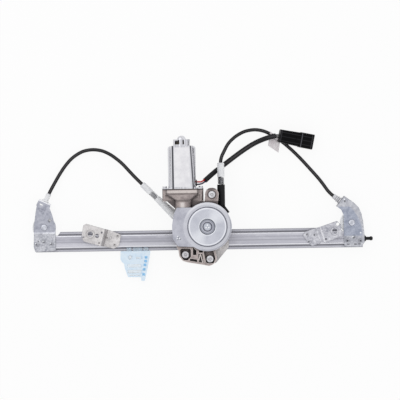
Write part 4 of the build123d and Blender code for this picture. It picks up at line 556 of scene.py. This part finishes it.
# Dark dots are painted shade at holes and dimples.
dress(finish, dots(finish, painted(finish), LEFT_MOUNT_SPOT_SHADES, 1.2, (96, 90, 90), 0.8))
finish = right_mount_zinc
colour = dots(finish, painted(finish), RIGHT_MOUNT_SPOT_SHADES, 1.2, (84, 84, 90), 0.8)
# Bright spots are painted highlights.
colour = dots(finish, colour, RIGHT_MOUNT_SHINE, 2.2, (236, 236, 241), 0.6, 1.2)
# A painted highlight along the wall of the step.
on_step = band(finish, along_axis(finish, "X"), STEP_START, STEP_END, 0.8)
step = all_of(finish, standing(finish, 0.8, 0.97), on_step)
dress(finish, over(finish, colour, step, (240, 240, 245), 0.85))
print("marks on", left_end_zinc.name, right_end_zinc.name, mount_zinc.name, right_mount_zinc.name)

# %% [markdown]
# ## The rail
# The rail is roll-formed from the same sheet. The rolls leave bright and dull lines that run its
# whole length. Shade is painted on its walls, at the foot of its walls, on its cut edges and in its
# two grooves, and highlights are painted along the bends at the edges of its web. Lines come from
# noise that is stretched lengthwise; the painted lines are placed by how far they are from the
# middle of the rail.

# %% The rail, drawn lengthwise
RAIL_MIDDLE = (0, -49.2, 0)
# Painted shade in the two grooves of the web, and painted highlights along the bends at its edges.
GROOVE_SHADE_AND_BEND_HIGHLIGHTS = [
    (-2.0, -0.6, (150, 150, 160), 0.5), (2.6, 3.8, (156, 156, 166), 0.5),
    (-8.2, -7.0, (244, 244, 248), 0.7), (7.2, 8.4, (240, 240, 245), 0.6),
]
# Painted shade at the foot of the walls and on the cut edges.
WALL_FOOT_SHADE = [(8.9, 10.9, (84, 84, 90), 0.75)]
CUT_EDGE_SHADE = [(13.3, 15.0, (120, 120, 126), 0.5)]
finish = rail_zinc = new_finish("rail_zinc", 0.75, 0.34)
wide_lines = mottle(finish, 4.0, 3.0, stretch=(0.01, 1, 1))
fine_lines = mottle(finish, 0.9, 2.0, stretch=(0.004, 1, 1))
frost = mottle(finish, 6.0, 5.0, stretch=(0.3, 1, 1))
colour = clouded(finish, wide_lines, 0.38, 0.62, (172, 172, 182), (204, 204, 212))
colour = over(finish, colour, span(finish, fine_lines, 0.4, 0.6, 0.35, 0.0), (160, 160, 172))
colour = over(finish, colour, span(finish, frost, 0.55, 0.75, 0.0, 0.4), (224, 224, 230))
# Painted shade on walls and bends.
colour = over(finish, colour, standing(finish), (96, 96, 104), 0.5)
from_middle = along_axis(finish, "Y", RAIL_MIDDLE)
either_side = reckon(finish, "ABSOLUTE", from_middle)
below_lips = band(finish, along_axis(finish, "Z"), -1.0, 9.3)
colour = stripes(finish, colour, either_side, WALL_FOOT_SHADE, 0.35, below_lips)
colour = stripes(finish, colour, either_side, CUT_EDGE_SHADE, 0.2)
colour = stripes(finish, colour, from_middle, GROOVE_SHADE_AND_BEND_HIGHLIGHTS)
dress(
    finish, colour, span(finish, frost, 0.3, 0.7, 0.28, 0.42),
    bumps(finish, fine_lines, 0.03, 0.5, bumps(finish, frost, 0.1, 0.3)),
)
wear(rail_zinc, "rail")

# %% [markdown]
# ## The gear cover
# The cover is a smooth pressed lid of cold-rolled steel with a blue-grey passivated skin. Light
# and shade are painted on it as bright and dark rings at the edges of its cup, on its rim and round
# the recess of the hub, and a painted fan of light lies on each side of the cup's floor, as on
# turned metal. Their radii are measured from the gear's axis.

# %% Blue-grey lid with painted rings of light and shade
GEAR_AXIS = (5.2, -30.6, 0)
CUP_FLOOR_START, CUP_FLOOR_END = 11.0, 24.4
RIM_INNER, RIM_OUTER = 31.0, 34.0
TOWARD_LIGHT = (0.66, 0.75, 0.0)
COVER_LIGHT_AND_SHADE_RINGS = [
    (12.4, 24.4, (214, 218, 227), 0.4), (28.0, 33.5, (216, 217, 224), 0.4),
    (24.4, 26.0, (238, 240, 246), 0.8), (26.5, 27.6, (92, 96, 106), 0.7),
    (11.0, 12.4, (230, 233, 239), 0.7), (8.2, 10.6, (138, 143, 154), 0.7),
    (5.0, 6.4, (106, 113, 126), 0.7), (0.0, 4.6, (196, 202, 212), 0.6),
]
FREE_RIM_LIGHT_AND_SHADE = [(28.0, 31.0, (204, 206, 212), 0.4), (31.9, 33.2, (128, 130, 138), 0.5)]
HUB_GLINTS = [(5.2, -28.4), (3.3, -31.7), (7.1, -31.7)]
DIMPLE_SHADES = [(-36.4, -47.2), (-32.8, -46.8), (-35.4, -44.0)]
DIMPLE_GLINTS = [(-37.0, -46.6), (-33.4, -46.2), (-36.0, -43.4)]
finish = cover_skin = new_finish("cover_skin", 0.7, 0.33)
clouds = mottle(finish, 14.0, 3.0)
grain = mottle(finish, 0.8, 2.0)
colour = clouded(finish, clouds, 0.35, 0.65, (166, 167, 179), (194, 195, 205))
colour = over(finish, colour, span(finish, grain, 0.35, 0.5, 0.3, 0.0), (146, 147, 158))
radius = from_upright(finish, GEAR_AXIS)
free_side = span(finish, along_axis(finish, "X", GEAR_AXIS), -14 * MM, -4 * MM)
# Painted rings of light and shade, some only on the free side.
colour = stripes(finish, colour, radius, COVER_LIGHT_AND_SHADE_RINGS)
colour = stripes(finish, colour, radius, FREE_RIM_LIGHT_AND_SHADE, where=free_side)
# A painted fan of light on the cup's floor, and a painted highlight on the top of the rim.
sideways = reckon(finish, "ABSOLUTE", along_way(finish, TOWARD_LIGHT, GEAR_AXIS))
fan = span(finish, reckon(finish, "DIVIDE", sideways, radius), 0.8, 1.0, 0.0, 0.5)
on_floor = band(finish, radius, CUP_FLOOR_START, CUP_FLOOR_END, 1.0)
colour = over(finish, colour, all_of(finish, fan, on_floor), (240, 242, 247))
upper_side = span(finish, along_axis(finish, "Y", GEAR_AXIS), 8 * MM, 26 * MM)
top_rim_highlight = all_of(finish, band(finish, radius, RIM_INNER, RIM_OUTER), upper_side)
colour = over(finish, colour, top_rim_highlight, (228, 229, 235), 0.7)
# Painted shade on walls, painted glints on the hub, and painted shade in dimples with painted glints
# beside them.
colour = over(finish, colour, standing(finish, 0.3, 0.95), (84, 86, 94), 0.75)
colour = dots(finish, colour, HUB_GLINTS, 0.9, (250, 251, 253))
colour = dots(finish, colour, DIMPLE_SHADES, 1.1, (84, 88, 98))
colour = dots(finish, colour, DIMPLE_GLINTS, 0.9, (246, 248, 252))
dress(finish, colour, span(finish, clouds, 0.3, 0.7, 0.38, 0.28), bumps(finish, grain, 0.012, 0.5))
wear(cover_skin, "gear_cover")

# %% [markdown]
# ## Die-cast housing
# The gear case is an aluminium die casting, tumbled but not machined: a warm grey, slightly
# grainy skin. Shade is painted darker low down, in its pockets, on its walls and round its
# screw seats. Its rims are rubbed bright by the tumbling and carry a painted highlight too. A
# painted line of light runs down the neck below the motor's flange, with painted shade beside
# it; light and dark lines are painted across the flange, and a dark line of painted shade lies
# under the can.

# %% Tumbled die casting
MOTOR_X = -29.0
SEATS = [(12.0, 14.1, 0), (-26.1, -69.3, 0), (8.1, -75.5, 0)]
SHADE_UNDER_CAN = [(20.9, 22.8, (46, 40, 44), 0.85)]
FLANGE_LIGHT_AND_SHADE = [(16.8, 20.4, (226, 218, 214), 0.6), (14.6, 16.4, (70, 62, 62), 0.6)]
FLANGE_FOOT_SHADE = [(4.4, 7.4, (62, 54, 55), 0.55)]
finish = casting = new_finish("casting", 0.45, 0.44)
skin = mottle(finish, 6.0, 5.0)
pits = mottle(finish, 0.7, 3.0)
# Painted shade: darker low down.
painted_shade_low_down = span(finish, along_axis(finish, "Z"), 27 * MM, 43 * MM, 0.6, 0.0)
colour = clouded(finish, skin, 0.3, 0.7, (146, 135, 134), (188, 176, 173))
colour = over(finish, colour, painted_shade_low_down, (88, 80, 80))
colour = over(finish, colour, span(finish, pits, 0.3, 0.42, 0.35, 0.0), (70, 64, 64))
# Painted shade in corners and on walls; rims rubbed bright, with a painted highlight on them too.
colour = over(finish, colour, crevice(finish, 6.0, 0.4, 0.9), (42, 36, 38), 0.9)
colour = over(finish, colour, edge_mask(finish, 1.4), (228, 220, 217), 0.8)
colour = over(finish, colour, standing(finish, 0.2, 0.75), (58, 51, 53), 0.75)
along_motor = along_axis(finish, "Y")
across_motor = reckon(finish, "ABSOLUTE", along_axis(finish, "X", (MOTOR_X, 0, 0)))
on_flange = span(finish, across_motor, 20 * MM, 24 * MM, 1.0, 0.0)
# A dark line of painted shade under the can, and painted light and shade across the flange.
colour = stripes(finish, colour, along_motor, SHADE_UNDER_CAN, 0.2)
colour = stripes(finish, colour, along_motor, FLANGE_LIGHT_AND_SHADE, 0.4, on_flange)
colour = stripes(finish, colour, along_motor, FLANGE_FOOT_SHADE, 0.6, on_flange)
# Painted shade in rings round the screw seats.
for seat in SEATS:
    colour = stripes(finish, colour, from_upright(finish, seat), [(3.0, 6.2, (56, 50, 52), 0.7)], 0.5)
# A painted highlight down the middle of the neck, and painted shade on its sides.
neck_highlight = span(finish, across_motor, 1.5 * MM, 4 * MM, 0.6, 0.0)
neck_side_shade = span(finish, across_motor, 4 * MM, 11 * MM, 0.0, 0.8)
colour = stripes(finish, colour, along_motor, [(-8.0, 3.5, (236, 230, 228), 1.0)], 1.0, neck_highlight)
colour = stripes(finish, colour, along_motor, [(-8.0, 5.0, (66, 58, 60), 1.0)], 0.8, neck_side_shade)
dress(
    finish, colour, span(finish, skin, 0.3, 0.7, 0.5, 0.36),
    bumps(finish, pits, 0.06, 0.6, bumps(finish, skin, 0.3, 0.25)),
)
wear(casting, "gear_housing")

# %% [markdown]
# ## Motor can and label
# The motor's can is deep drawn and nickel plated, so it is the brightest piece. Drawing leaves
# long faint streaks along it. Dark reflections are painted along the edges of its two flats; the
# right one runs at a slant, as the room mirrored in it would. Grey reflections are painted down
# its sides. A blank label of white film is stuck on the upper flat.

# %% Bright drawn can
CAN_MIDDLE, SLANT = (MOTOR_X, 82.6, 0), 0.055
LEFT_FLAT_REFLECTIONS = [(-13.6, -11.3, (34, 36, 44), 0.92), (-17.2, -16.4, (150, 150, 158), 0.4)]
RIGHT_FLAT_REFLECTIONS = [(11.4, 13.2, (44, 46, 54), 0.92), (14.6, 16.0, (142, 142, 150), 0.6)]
CAN_SIDE_REFLECTIONS = [(-19.8, -18.6, (160, 160, 166), 0.5), (18.6, 19.8, (150, 150, 156), 0.6)]
finish = can_plate = new_finish("can_plate", 0.9, 0.16)
streaks = mottle(finish, 2.5, 3.0, stretch=(1, 0.03, 1))
colour = clouded(finish, streaks, 0.35, 0.65, (190, 190, 196), (228, 228, 233))
across_can = along_axis(finish, "X", CAN_MIDDLE)
slant = reckon(finish, "MULTIPLY", along_axis(finish, "Y", CAN_MIDDLE), SLANT)
# Painted reflections: dark lines along the flats' edges, grey ones down the sides.
colour = stripes(finish, colour, across_can, LEFT_FLAT_REFLECTIONS, 0.4)
colour = stripes(finish, colour, reckon(finish, "ADD", across_can, slant), RIGHT_FLAT_REFLECTIONS, 0.4)
colour = stripes(finish, colour, across_can, CAN_SIDE_REFLECTIONS, 0.4)
dress(
    finish, colour, span(finish, streaks, 0.3, 0.7, 0.22, 0.12), bumps(finish, streaks, 0.02, 0.3),
)
wear(can_plate, "motor_can")

# %% Blank film and paper
finish = label_film = new_finish("label_film", 0.0, 0.42, Coat_Weight=0.25, Coat_Roughness=0.25)
fibres = mottle(finish, 0.6, 4.0, stretch=(1, 0.3, 1))
waves = mottle(finish, 9.0, 2.0)
dress(
    finish, clouded(finish, waves, 0.35, 0.65, (228, 227, 232), (243, 242, 245)),
    span(finish, waves, 0.3, 0.7, 0.5, 0.36),
    bumps(finish, fibres, 0.01, 0.4, bumps(finish, waves, 0.1, 0.3)),
)
wear(label_film, "motor_label")
finish = flag_paper = new_finish("flag_paper", 0.0, 0.6)
fibres = mottle(finish, 0.5, 5.0)
creases = mottle(finish, 5.0, 3.0)
dress(
    finish, clouded(finish, creases, 0.35, 0.65, (222, 214, 218), (240, 236, 238)),
    normal=bumps(finish, fibres, 0.02, 0.4, bumps(finish, creases, 0.3, 0.5)),
)
flag.data.materials.append(flag_paper)

# %% [markdown]
# ## Screws, rivets and springs
# Small turned parts are bright zinc with a fine grain and dull patches, with painted shade where
# they meet their seats and on their sides. The springs are of a darker drawn wire, and the shafts
# are ground smooth.

# %% Turned and drawn steel
def turned_steel(name, light, dark, rough):
    """Bright steel with a fine grain and dull patches, and painted shade in corners and on its sides."""
    finish = new_finish(name, 0.9, rough)
    grain = mottle(finish, 0.35, 2.0)
    patches = mottle(finish, 3.0)
    colour = clouded(finish, patches, 0.3, 0.7, dark, light)
    # Painted shade in corners and on sides.
    colour = over(finish, colour, crevice(finish, 1.5), (70, 68, 72), 0.8)
    colour = over(finish, colour, standing(finish), (88, 86, 92), 0.5)
    dress(
        finish, colour, span(finish, patches, 0.3, 0.7, rough + 0.12, rough),
        bumps(finish, grain, 0.01, 0.5),
    )
    return finish

screw_zinc = turned_steel("screw_zinc", (232, 232, 236), (176, 174, 178), 0.22)
rivet_steel = turned_steel("rivet_steel", (214, 216, 224), (160, 163, 174), 0.28)
spring_wire = turned_steel("spring_wire", (176, 176, 180), (118, 118, 124), 0.35)
ground_steel = turned_steel("ground_steel", (196, 196, 200), (150, 150, 154), 0.2)
wear(screw_zinc, "motor_screws", "can_screws")
wear(rivet_steel, "left_pulley_rivet", "right_pulley_rivet", "weld_nuts")
wear(spring_wire, "left_tension_spring", "right_tension_spring")
wear(ground_steel, "armature_shaft", "worm", "gear_spindle", "drive_plate")

# %% Stranded cable
finish = strand_steel = new_finish("strand_steel", 0.9, 0.35)
lay = node(
    finish, "TexWave", {"wave_type": "BANDS", "bands_direction": "DIAGONAL"},
    Vector=spot(finish), Scale=500.0, Distortion=0.6,
).outputs[0]
dress(
    finish, mixed(finish, lay, tone(96, 94, 92), tone(186, 186, 188)),
    span(finish, lay, 0.0, 1.0, 0.5, 0.28), bumps(finish, lay, 0.12, 0.8),
)
wear(strand_steel, "left_cable", "right_cable", "cable_nipples")

# %% [markdown]
# ## Plastics and rubber
# White guide sleeves and pulleys are natural nylon: a little see-through, with soft flow marks.
# The drum housing, the connector and the end pin are glass-filled and black, with a fine
# moulded grain. The rubbers are dull. One recipe makes them all. Painted shade in the grooves
# between the right fitting's ribs and painted highlights on the connector are laid over it.

# %% One recipe for moulded plastic
def moulded(name, light, dark, rough, grain_size=0.5, grain_depth=0.02, **plain):
    """A moulded plastic with flow marks and a fine grain."""
    finish = new_finish(name, 0.0, rough, **plain)
    flow = mottle(finish, 8.0, 3.0)
    grain = mottle(finish, grain_size, 2.0)
    dress(
        finish, clouded(finish, flow, 0.3, 0.7, dark, light),
        span(finish, flow, 0.3, 0.7, rough + 0.06, rough - 0.04),
        bumps(finish, grain, grain_depth, 0.5),
    )
    return finish

nylon = moulded(
    "nylon", (238, 239, 241), (222, 223, 227), 0.36, Coat_Weight=0.15,
    Subsurface_Weight=0.2, Subsurface_Scale=1.0, Subsurface_Radius=(0.002, 0.002, 0.002),
)
gear_nylon = moulded(
    "gear_nylon", (226, 224, 214), (210, 207, 196), 0.4,
    Subsurface_Weight=0.1, Subsurface_Scale=1.0, Subsurface_Radius=(0.001, 0.001, 0.001),
)
filled_black = moulded(
    "filled_black", (20, 20, 22), (12, 12, 14), 0.42, 0.4, 0.04, Specular_IOR_Level=0.2,
)
soft_rubber = moulded("soft_rubber", (36, 36, 36), (26, 26, 26), 0.7, 0.3, 0.03)
wear(nylon, "left_outlet_sleeve", "left_guide_tube", "right_guide_tube", "left_conduit_fitting")
wear(nylon, "left_pulley", "right_pulley")
wear(gear_nylon, "cable_drum", "worm_wheel")
wear(filled_black, "drum_housing", "end_pin", "brush_card")
wear(soft_rubber, "rubber_damper", "wire_grommet", "connector_seal")

# %% The connector, with painted highlights along its latch, ends and ribs
LATCH_AND_END_HIGHLIGHTS = [
    (6.5, 7.5, (104, 104, 110), 0.8), (-23.0, -21.8, (66, 66, 70), 0.6),
    (21.2, 22.2, (78, 78, 82), 0.6),
]
RIB_HIGHLIGHTS = [
    (5.2, 6.0, (62, 62, 66), 0.5), (-0.6, 0.4, (50, 50, 54), 0.5), (-6.6, -5.8, (58, 58, 62), 0.5),
]
finish = connector_black = moulded(
    "connector_black", (12, 12, 14), (6, 6, 8), 0.32, 0.5, 0.03, Specular_IOR_Level=0.06,
)
down_plug = along_way(finish, connector_along, connector_middle)
across_plug = along_way(finish, connector_across, connector_middle)
# Painted highlights along the latch, the ends and the ribs.
colour = stripes(finish, painted(finish), down_plug, LATCH_AND_END_HIGHLIGHTS, 0.25)
dress(finish, stripes(finish, colour, across_plug, RIB_HIGHLIGHTS, 0.25))
wear(connector_black, "connector_housing")

# %% The right conduit's fitting, with painted shade in the grooves between its ribs
GROOVES, HALF_GROOVE = (-4.6, -2.2, 0.4, 3.2), 0.45
ALONG_FITTING = (-0.788, 0.616, 0.0)
fitting_low, fitting_high = (Vector(corner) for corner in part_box("right_conduit_fitting"))
finish = fitting_grey = moulded("fitting_grey", (222, 222, 226), (196, 196, 202), 0.38)
down_fitting = along_way(finish, ALONG_FITTING, (fitting_low + fitting_high) / 2 / MM)
# Painted shade in the grooves between the ribs.
rows = [(at - HALF_GROOVE, at + HALF_GROOVE, (98, 98, 104), 0.75) for at in GROOVES]
dress(finish, stripes(finish, painted(finish), down_fitting, rows, 0.25))
wear(fitting_grey, "right_conduit_fitting")

# %% [markdown]
# The conduits are extruded, smooth and dusty, and the sleeve is matt. On both a soft line of
# light runs along the top, which tells the eye that they are round.

# %% Extruded conduit
finish = conduit_skin = new_finish("conduit_skin", 0.0, 0.3, Specular_IOR_Level=0.25)
ripple = mottle(finish, 14.0, 2.0)
dust = mottle(finish, 3.0, 5.0)
colour = clouded(finish, ripple, 0.35, 0.65, (10, 10, 12), (20, 20, 22))
colour = over(finish, colour, span(finish, dust, 0.58, 0.8, 0.0, 0.2), (70, 70, 74))
colour = over(finish, colour, crest(finish, 0.42), (96, 93, 97))
dress(finish, colour, span(finish, dust, 0.35, 0.7, 0.3, 0.42), bumps(finish, ripple, 0.1, 0.2))
wear(conduit_skin, "left_conduit", "right_conduit")

# %% Sleeve and lead insulation
WEAVE_STRETCH = (60, 8, 1)
finish = sleeve_skin = new_finish("sleeve_skin", 0.0, 0.5, Specular_IOR_Level=0.25)
own_map = node(finish, "TexCoord").outputs["UV"]
along_sleeve = node(
    finish, "Mapping", {"vector_type": "POINT"}, Vector=own_map, Scale=WEAVE_STRETCH,
).outputs[0]
weave = node(finish, "TexChecker", Vector=along_sleeve, Scale=2.0).outputs["Fac"]
lint = mottle(finish, 1.5, 5.0)
colour = clouded(finish, lint, 0.35, 0.7, (12, 12, 14), (30, 30, 33))
colour = over(finish, colour, crest(finish, 0.45), (92, 87, 91))
dress(
    finish, colour, span(finish, lint, 0.3, 0.7, 0.5, 0.68),
    bumps(finish, weave, 0.06, 0.35, bumps(finish, lint, 0.08, 0.4)),
)
sleeve.data.materials.append(sleeve_skin)
red_insulation = moulded("red_insulation", (206, 46, 42), (176, 30, 30), 0.38)
blue_insulation = moulded("blue_insulation", (44, 36, 84), (28, 24, 56), 0.38)
taped_black = moulded("taped_black", (34, 32, 36), (20, 19, 22), 0.45)
for lead in leads:
    if lead.name.endswith("plug_end"):
        lead.data.materials.append(taped_black)
    elif lead.name.startswith("red"):
        lead.data.materials.append(red_insulation)
    else:
        lead.data.materials.append(blue_insulation)
print("harness dressed:", sleeve_skin.name, "and", len(leads), "leads")

# %% [markdown]
# ## The blue carriage
# The carriage is moulded in a pale blue, half clear plastic. Its raised faces are a faint blue.
# Its edges are painted a stronger blue as painted shade. The floors of its pockets are half clear,
# and they are painted nearly white, as painted light that passes through them. Five small windows
# are painted a stronger blue, as painted shade of their depth. The depth is read from the height,
# and the windows from their places.

# %% Pale blue, half-clear plastic
FACE_HEIGHT, FLOOR_HEIGHT, WINDOW_FLOOR = 8.8, 2.0, 7.0
WINDOWS_X, WINDOWS_Y = (-88.2, -78.8), (-99.0, -70.5)
CLEAR_SHARE = 0.9
finish = carriage_blue = new_finish("carriage_blue", 0.0, 0.3, Coat_Weight=0.2, IOR=1.49)
flow = mottle(finish, 7.0, 3.0)
height = along_axis(finish, "Z")
in_pocket = span(finish, height, FLOOR_HEIGHT * MM, FACE_HEIGHT * MM, 1.0, 0.0)
window = all_of(
    finish, band(finish, along_axis(finish, "X"), *WINDOWS_X),
    span(finish, height, WINDOW_FLOOR * MM, FACE_HEIGHT * MM, 1.0, 0.0),
    band(finish, along_axis(finish, "Y"), *WINDOWS_Y),
)
colour = clouded(finish, flow, 0.3, 0.7, (214, 234, 252), (232, 245, 255))
# Painted light: the pocket floors nearly white. Painted shade: the windows and edges a stronger blue.
colour = over(finish, colour, in_pocket, (248, 252, 255), 0.7)
colour = over(finish, colour, window, (158, 214, 255))
colour = over(finish, colour, edge_mask(finish, 0.8), (176, 212, 244), 0.6)
clear = reckon(finish, "MULTIPLY", in_pocket, CLEAR_SHARE)
fill(finish, surface_of(finish).inputs["Transmission Weight"], clear)
dress(
    finish, colour, span(finish, flow, 0.3, 0.7, 0.34, 0.26),
    bumps(finish, mottle(finish, 0.6, 2.0), 0.015, 0.4),
)
wear(carriage_blue, "carriage")

# %% [markdown]
# ## Inside the motor
# Nobody sees the armature until the can is taken off, but its pieces are real, so they get
# real finishes: laminated iron, enamelled copper, bronze bushes and ferrite magnets.

# %% Iron, copper, bronze and ferrite
def inner_metal(name, light, dark, metal, rough, size, stretch=(1, 1, 1)):
    """A metal with lines or grain of a size in millimetres."""
    finish = new_finish(name, metal, rough)
    lines = mottle(finish, size, 2.0, stretch=stretch)
    dress(
        finish, clouded(finish, lines, 0.35, 0.65, dark, light),
        span(finish, lines, 0.3, 0.7, rough + 0.1, rough), bumps(finish, lines, 0.08, 0.6),
    )
    return finish

for piece, name, light, dark, metal, rough, size, stretch in (
    ("armature_core", "laminations", (112, 112, 118), (62, 62, 68), 0.7, 0.45, 0.8, (0.02, 1, 0.02)),
    ("armature_windings", "enamelled_wire", (196, 112, 62), (128, 62, 30), 0.7, 0.3, 0.7, (1, 0.1, 1)),
    ("commutator", "commutator_copper", (214, 146, 98), (152, 92, 56), 0.9, 0.28, 1.2, (1, 0.05, 1)),
    ("shaft_bushes", "oiled_bronze", (58, 50, 40), (34, 30, 26), 0.4, 0.4, 0.4, (1, 1, 1)),
    ("connector_terminals", "tinned_brass", (214, 204, 180), (176, 162, 130), 0.9, 0.25, 1.0, (1, 1, 1)),
    ("motor_magnets", "ferrite", (62, 62, 66), (40, 40, 44), 0.1, 0.6, 1.2, (1, 1, 1)),
):
    wear(inner_metal(name, light, dark, metal, rough, size, stretch), piece)

# %% [markdown]
# ## Bench, background and light
# The part lies on a white bench that runs out of sight. The bench shows white to the camera
# and in reflections, and keeps a faint shadow. The light is plain and even: a bright sky all
# round, one large soft lamp from the upper left and a weaker one from the lower right.

# %% White where the camera sees it
def seen_by(tree):
    """1 for rays from the camera, from reflections and through clear pieces."""
    path = tree.nodes.new("ShaderNodeLightPath")
    total = path.outputs["Is Camera Ray"]
    for name in ("Is Glossy Ray", "Is Transmission Ray"):
        either = tree.nodes.new("ShaderNodeMath")
        either.operation = "MAXIMUM"
        tree.links.new(total, either.inputs[0])
        tree.links.new(path.outputs[name], either.inputs[1])
        total = either.outputs[0]
    return total


def shows(tree, output, share, lit, white):
    """Gives an output one shader for the light, and another, by a share, for the eye."""
    mix = tree.nodes.new("ShaderNodeMixShader")
    for socket, value in zip(mix.inputs, (share, lit.outputs[0], white.outputs[0])):
        tree.links.new(value, socket)
    tree.links.new(mix.outputs[0], output.inputs["Surface"])

# %% White bench
BENCH_SIZE, BENCH_TOP = 30.0, -0.4 * MM
BENCH_COLOUR, BENCH_GLOW = (0.9, 0.9, 0.9, 1), 0.9
nothing_selected()
bpy.ops.mesh.primitive_plane_add(size=BENCH_SIZE, location=(0, 0, BENCH_TOP))
bench = settled(bpy.context.object)
bench.name = "bench"
bench_paint = bpy.data.materials.new("bench_paint")
bench_paint.use_nodes = True
tree = bench_paint.node_tree
matt = tree.nodes.new("ShaderNodeBsdfDiffuse")
matt.inputs["Color"].default_value = BENCH_COLOUR
glow = reckon(bench_paint, "MULTIPLY", seen_by(tree), BENCH_GLOW)
shows(tree, tree.nodes["Material Output"], glow, matt, tree.nodes.new("ShaderNodeEmission"))
bench.data.materials.append(bench_paint)
print("bench", BENCH_SIZE, "m wide")

# %% Sky and lamps
SKY_LIGHT, SKY_WHITE = 0.75, 1.0
LAMP_WIDTH = 1.6
sky = bpy.data.worlds.new("studio")
bpy.context.scene.world = sky
sky.use_nodes = True
tree = sky.node_tree
tree.nodes.clear()
skies = []
for strength in (SKY_LIGHT, SKY_WHITE):
    light = tree.nodes.new("ShaderNodeBackground")
    light.inputs["Color"].default_value = (1, 1, 1, 1)
    light.inputs["Strength"].default_value = strength
    skies.append(light)
shows(tree, tree.nodes.new("ShaderNodeOutputWorld"), seen_by(tree), *skies)


def soft_lamp(name, place, power):
    """A square lamp that points at the part."""
    lamp = bpy.data.objects.new(name, bpy.data.lights.new(name, "AREA"))
    bpy.context.scene.collection.objects.link(lamp)
    lamp.location = place
    lamp.rotation_euler = (-Vector(place)).to_track_quat("-Z", "Y").to_euler()
    lamp.data.size = LAMP_WIDTH
    lamp.data.energy = power
    print(name, "lamp of", power, "W")

soft_lamp("key", (-0.7, 0.9, 1.2), 5.5)
soft_lamp("fill", (0.9, -0.7, 1.0), 2.4)

# %% [markdown]
# ## Colour view
# The picture is made with Blender's Standard view, so a colour shows as it is written. The
# dressed part has to stay inside the CAD model's.

# %% View
bpy.context.scene.view_settings.view_transform = "Standard"
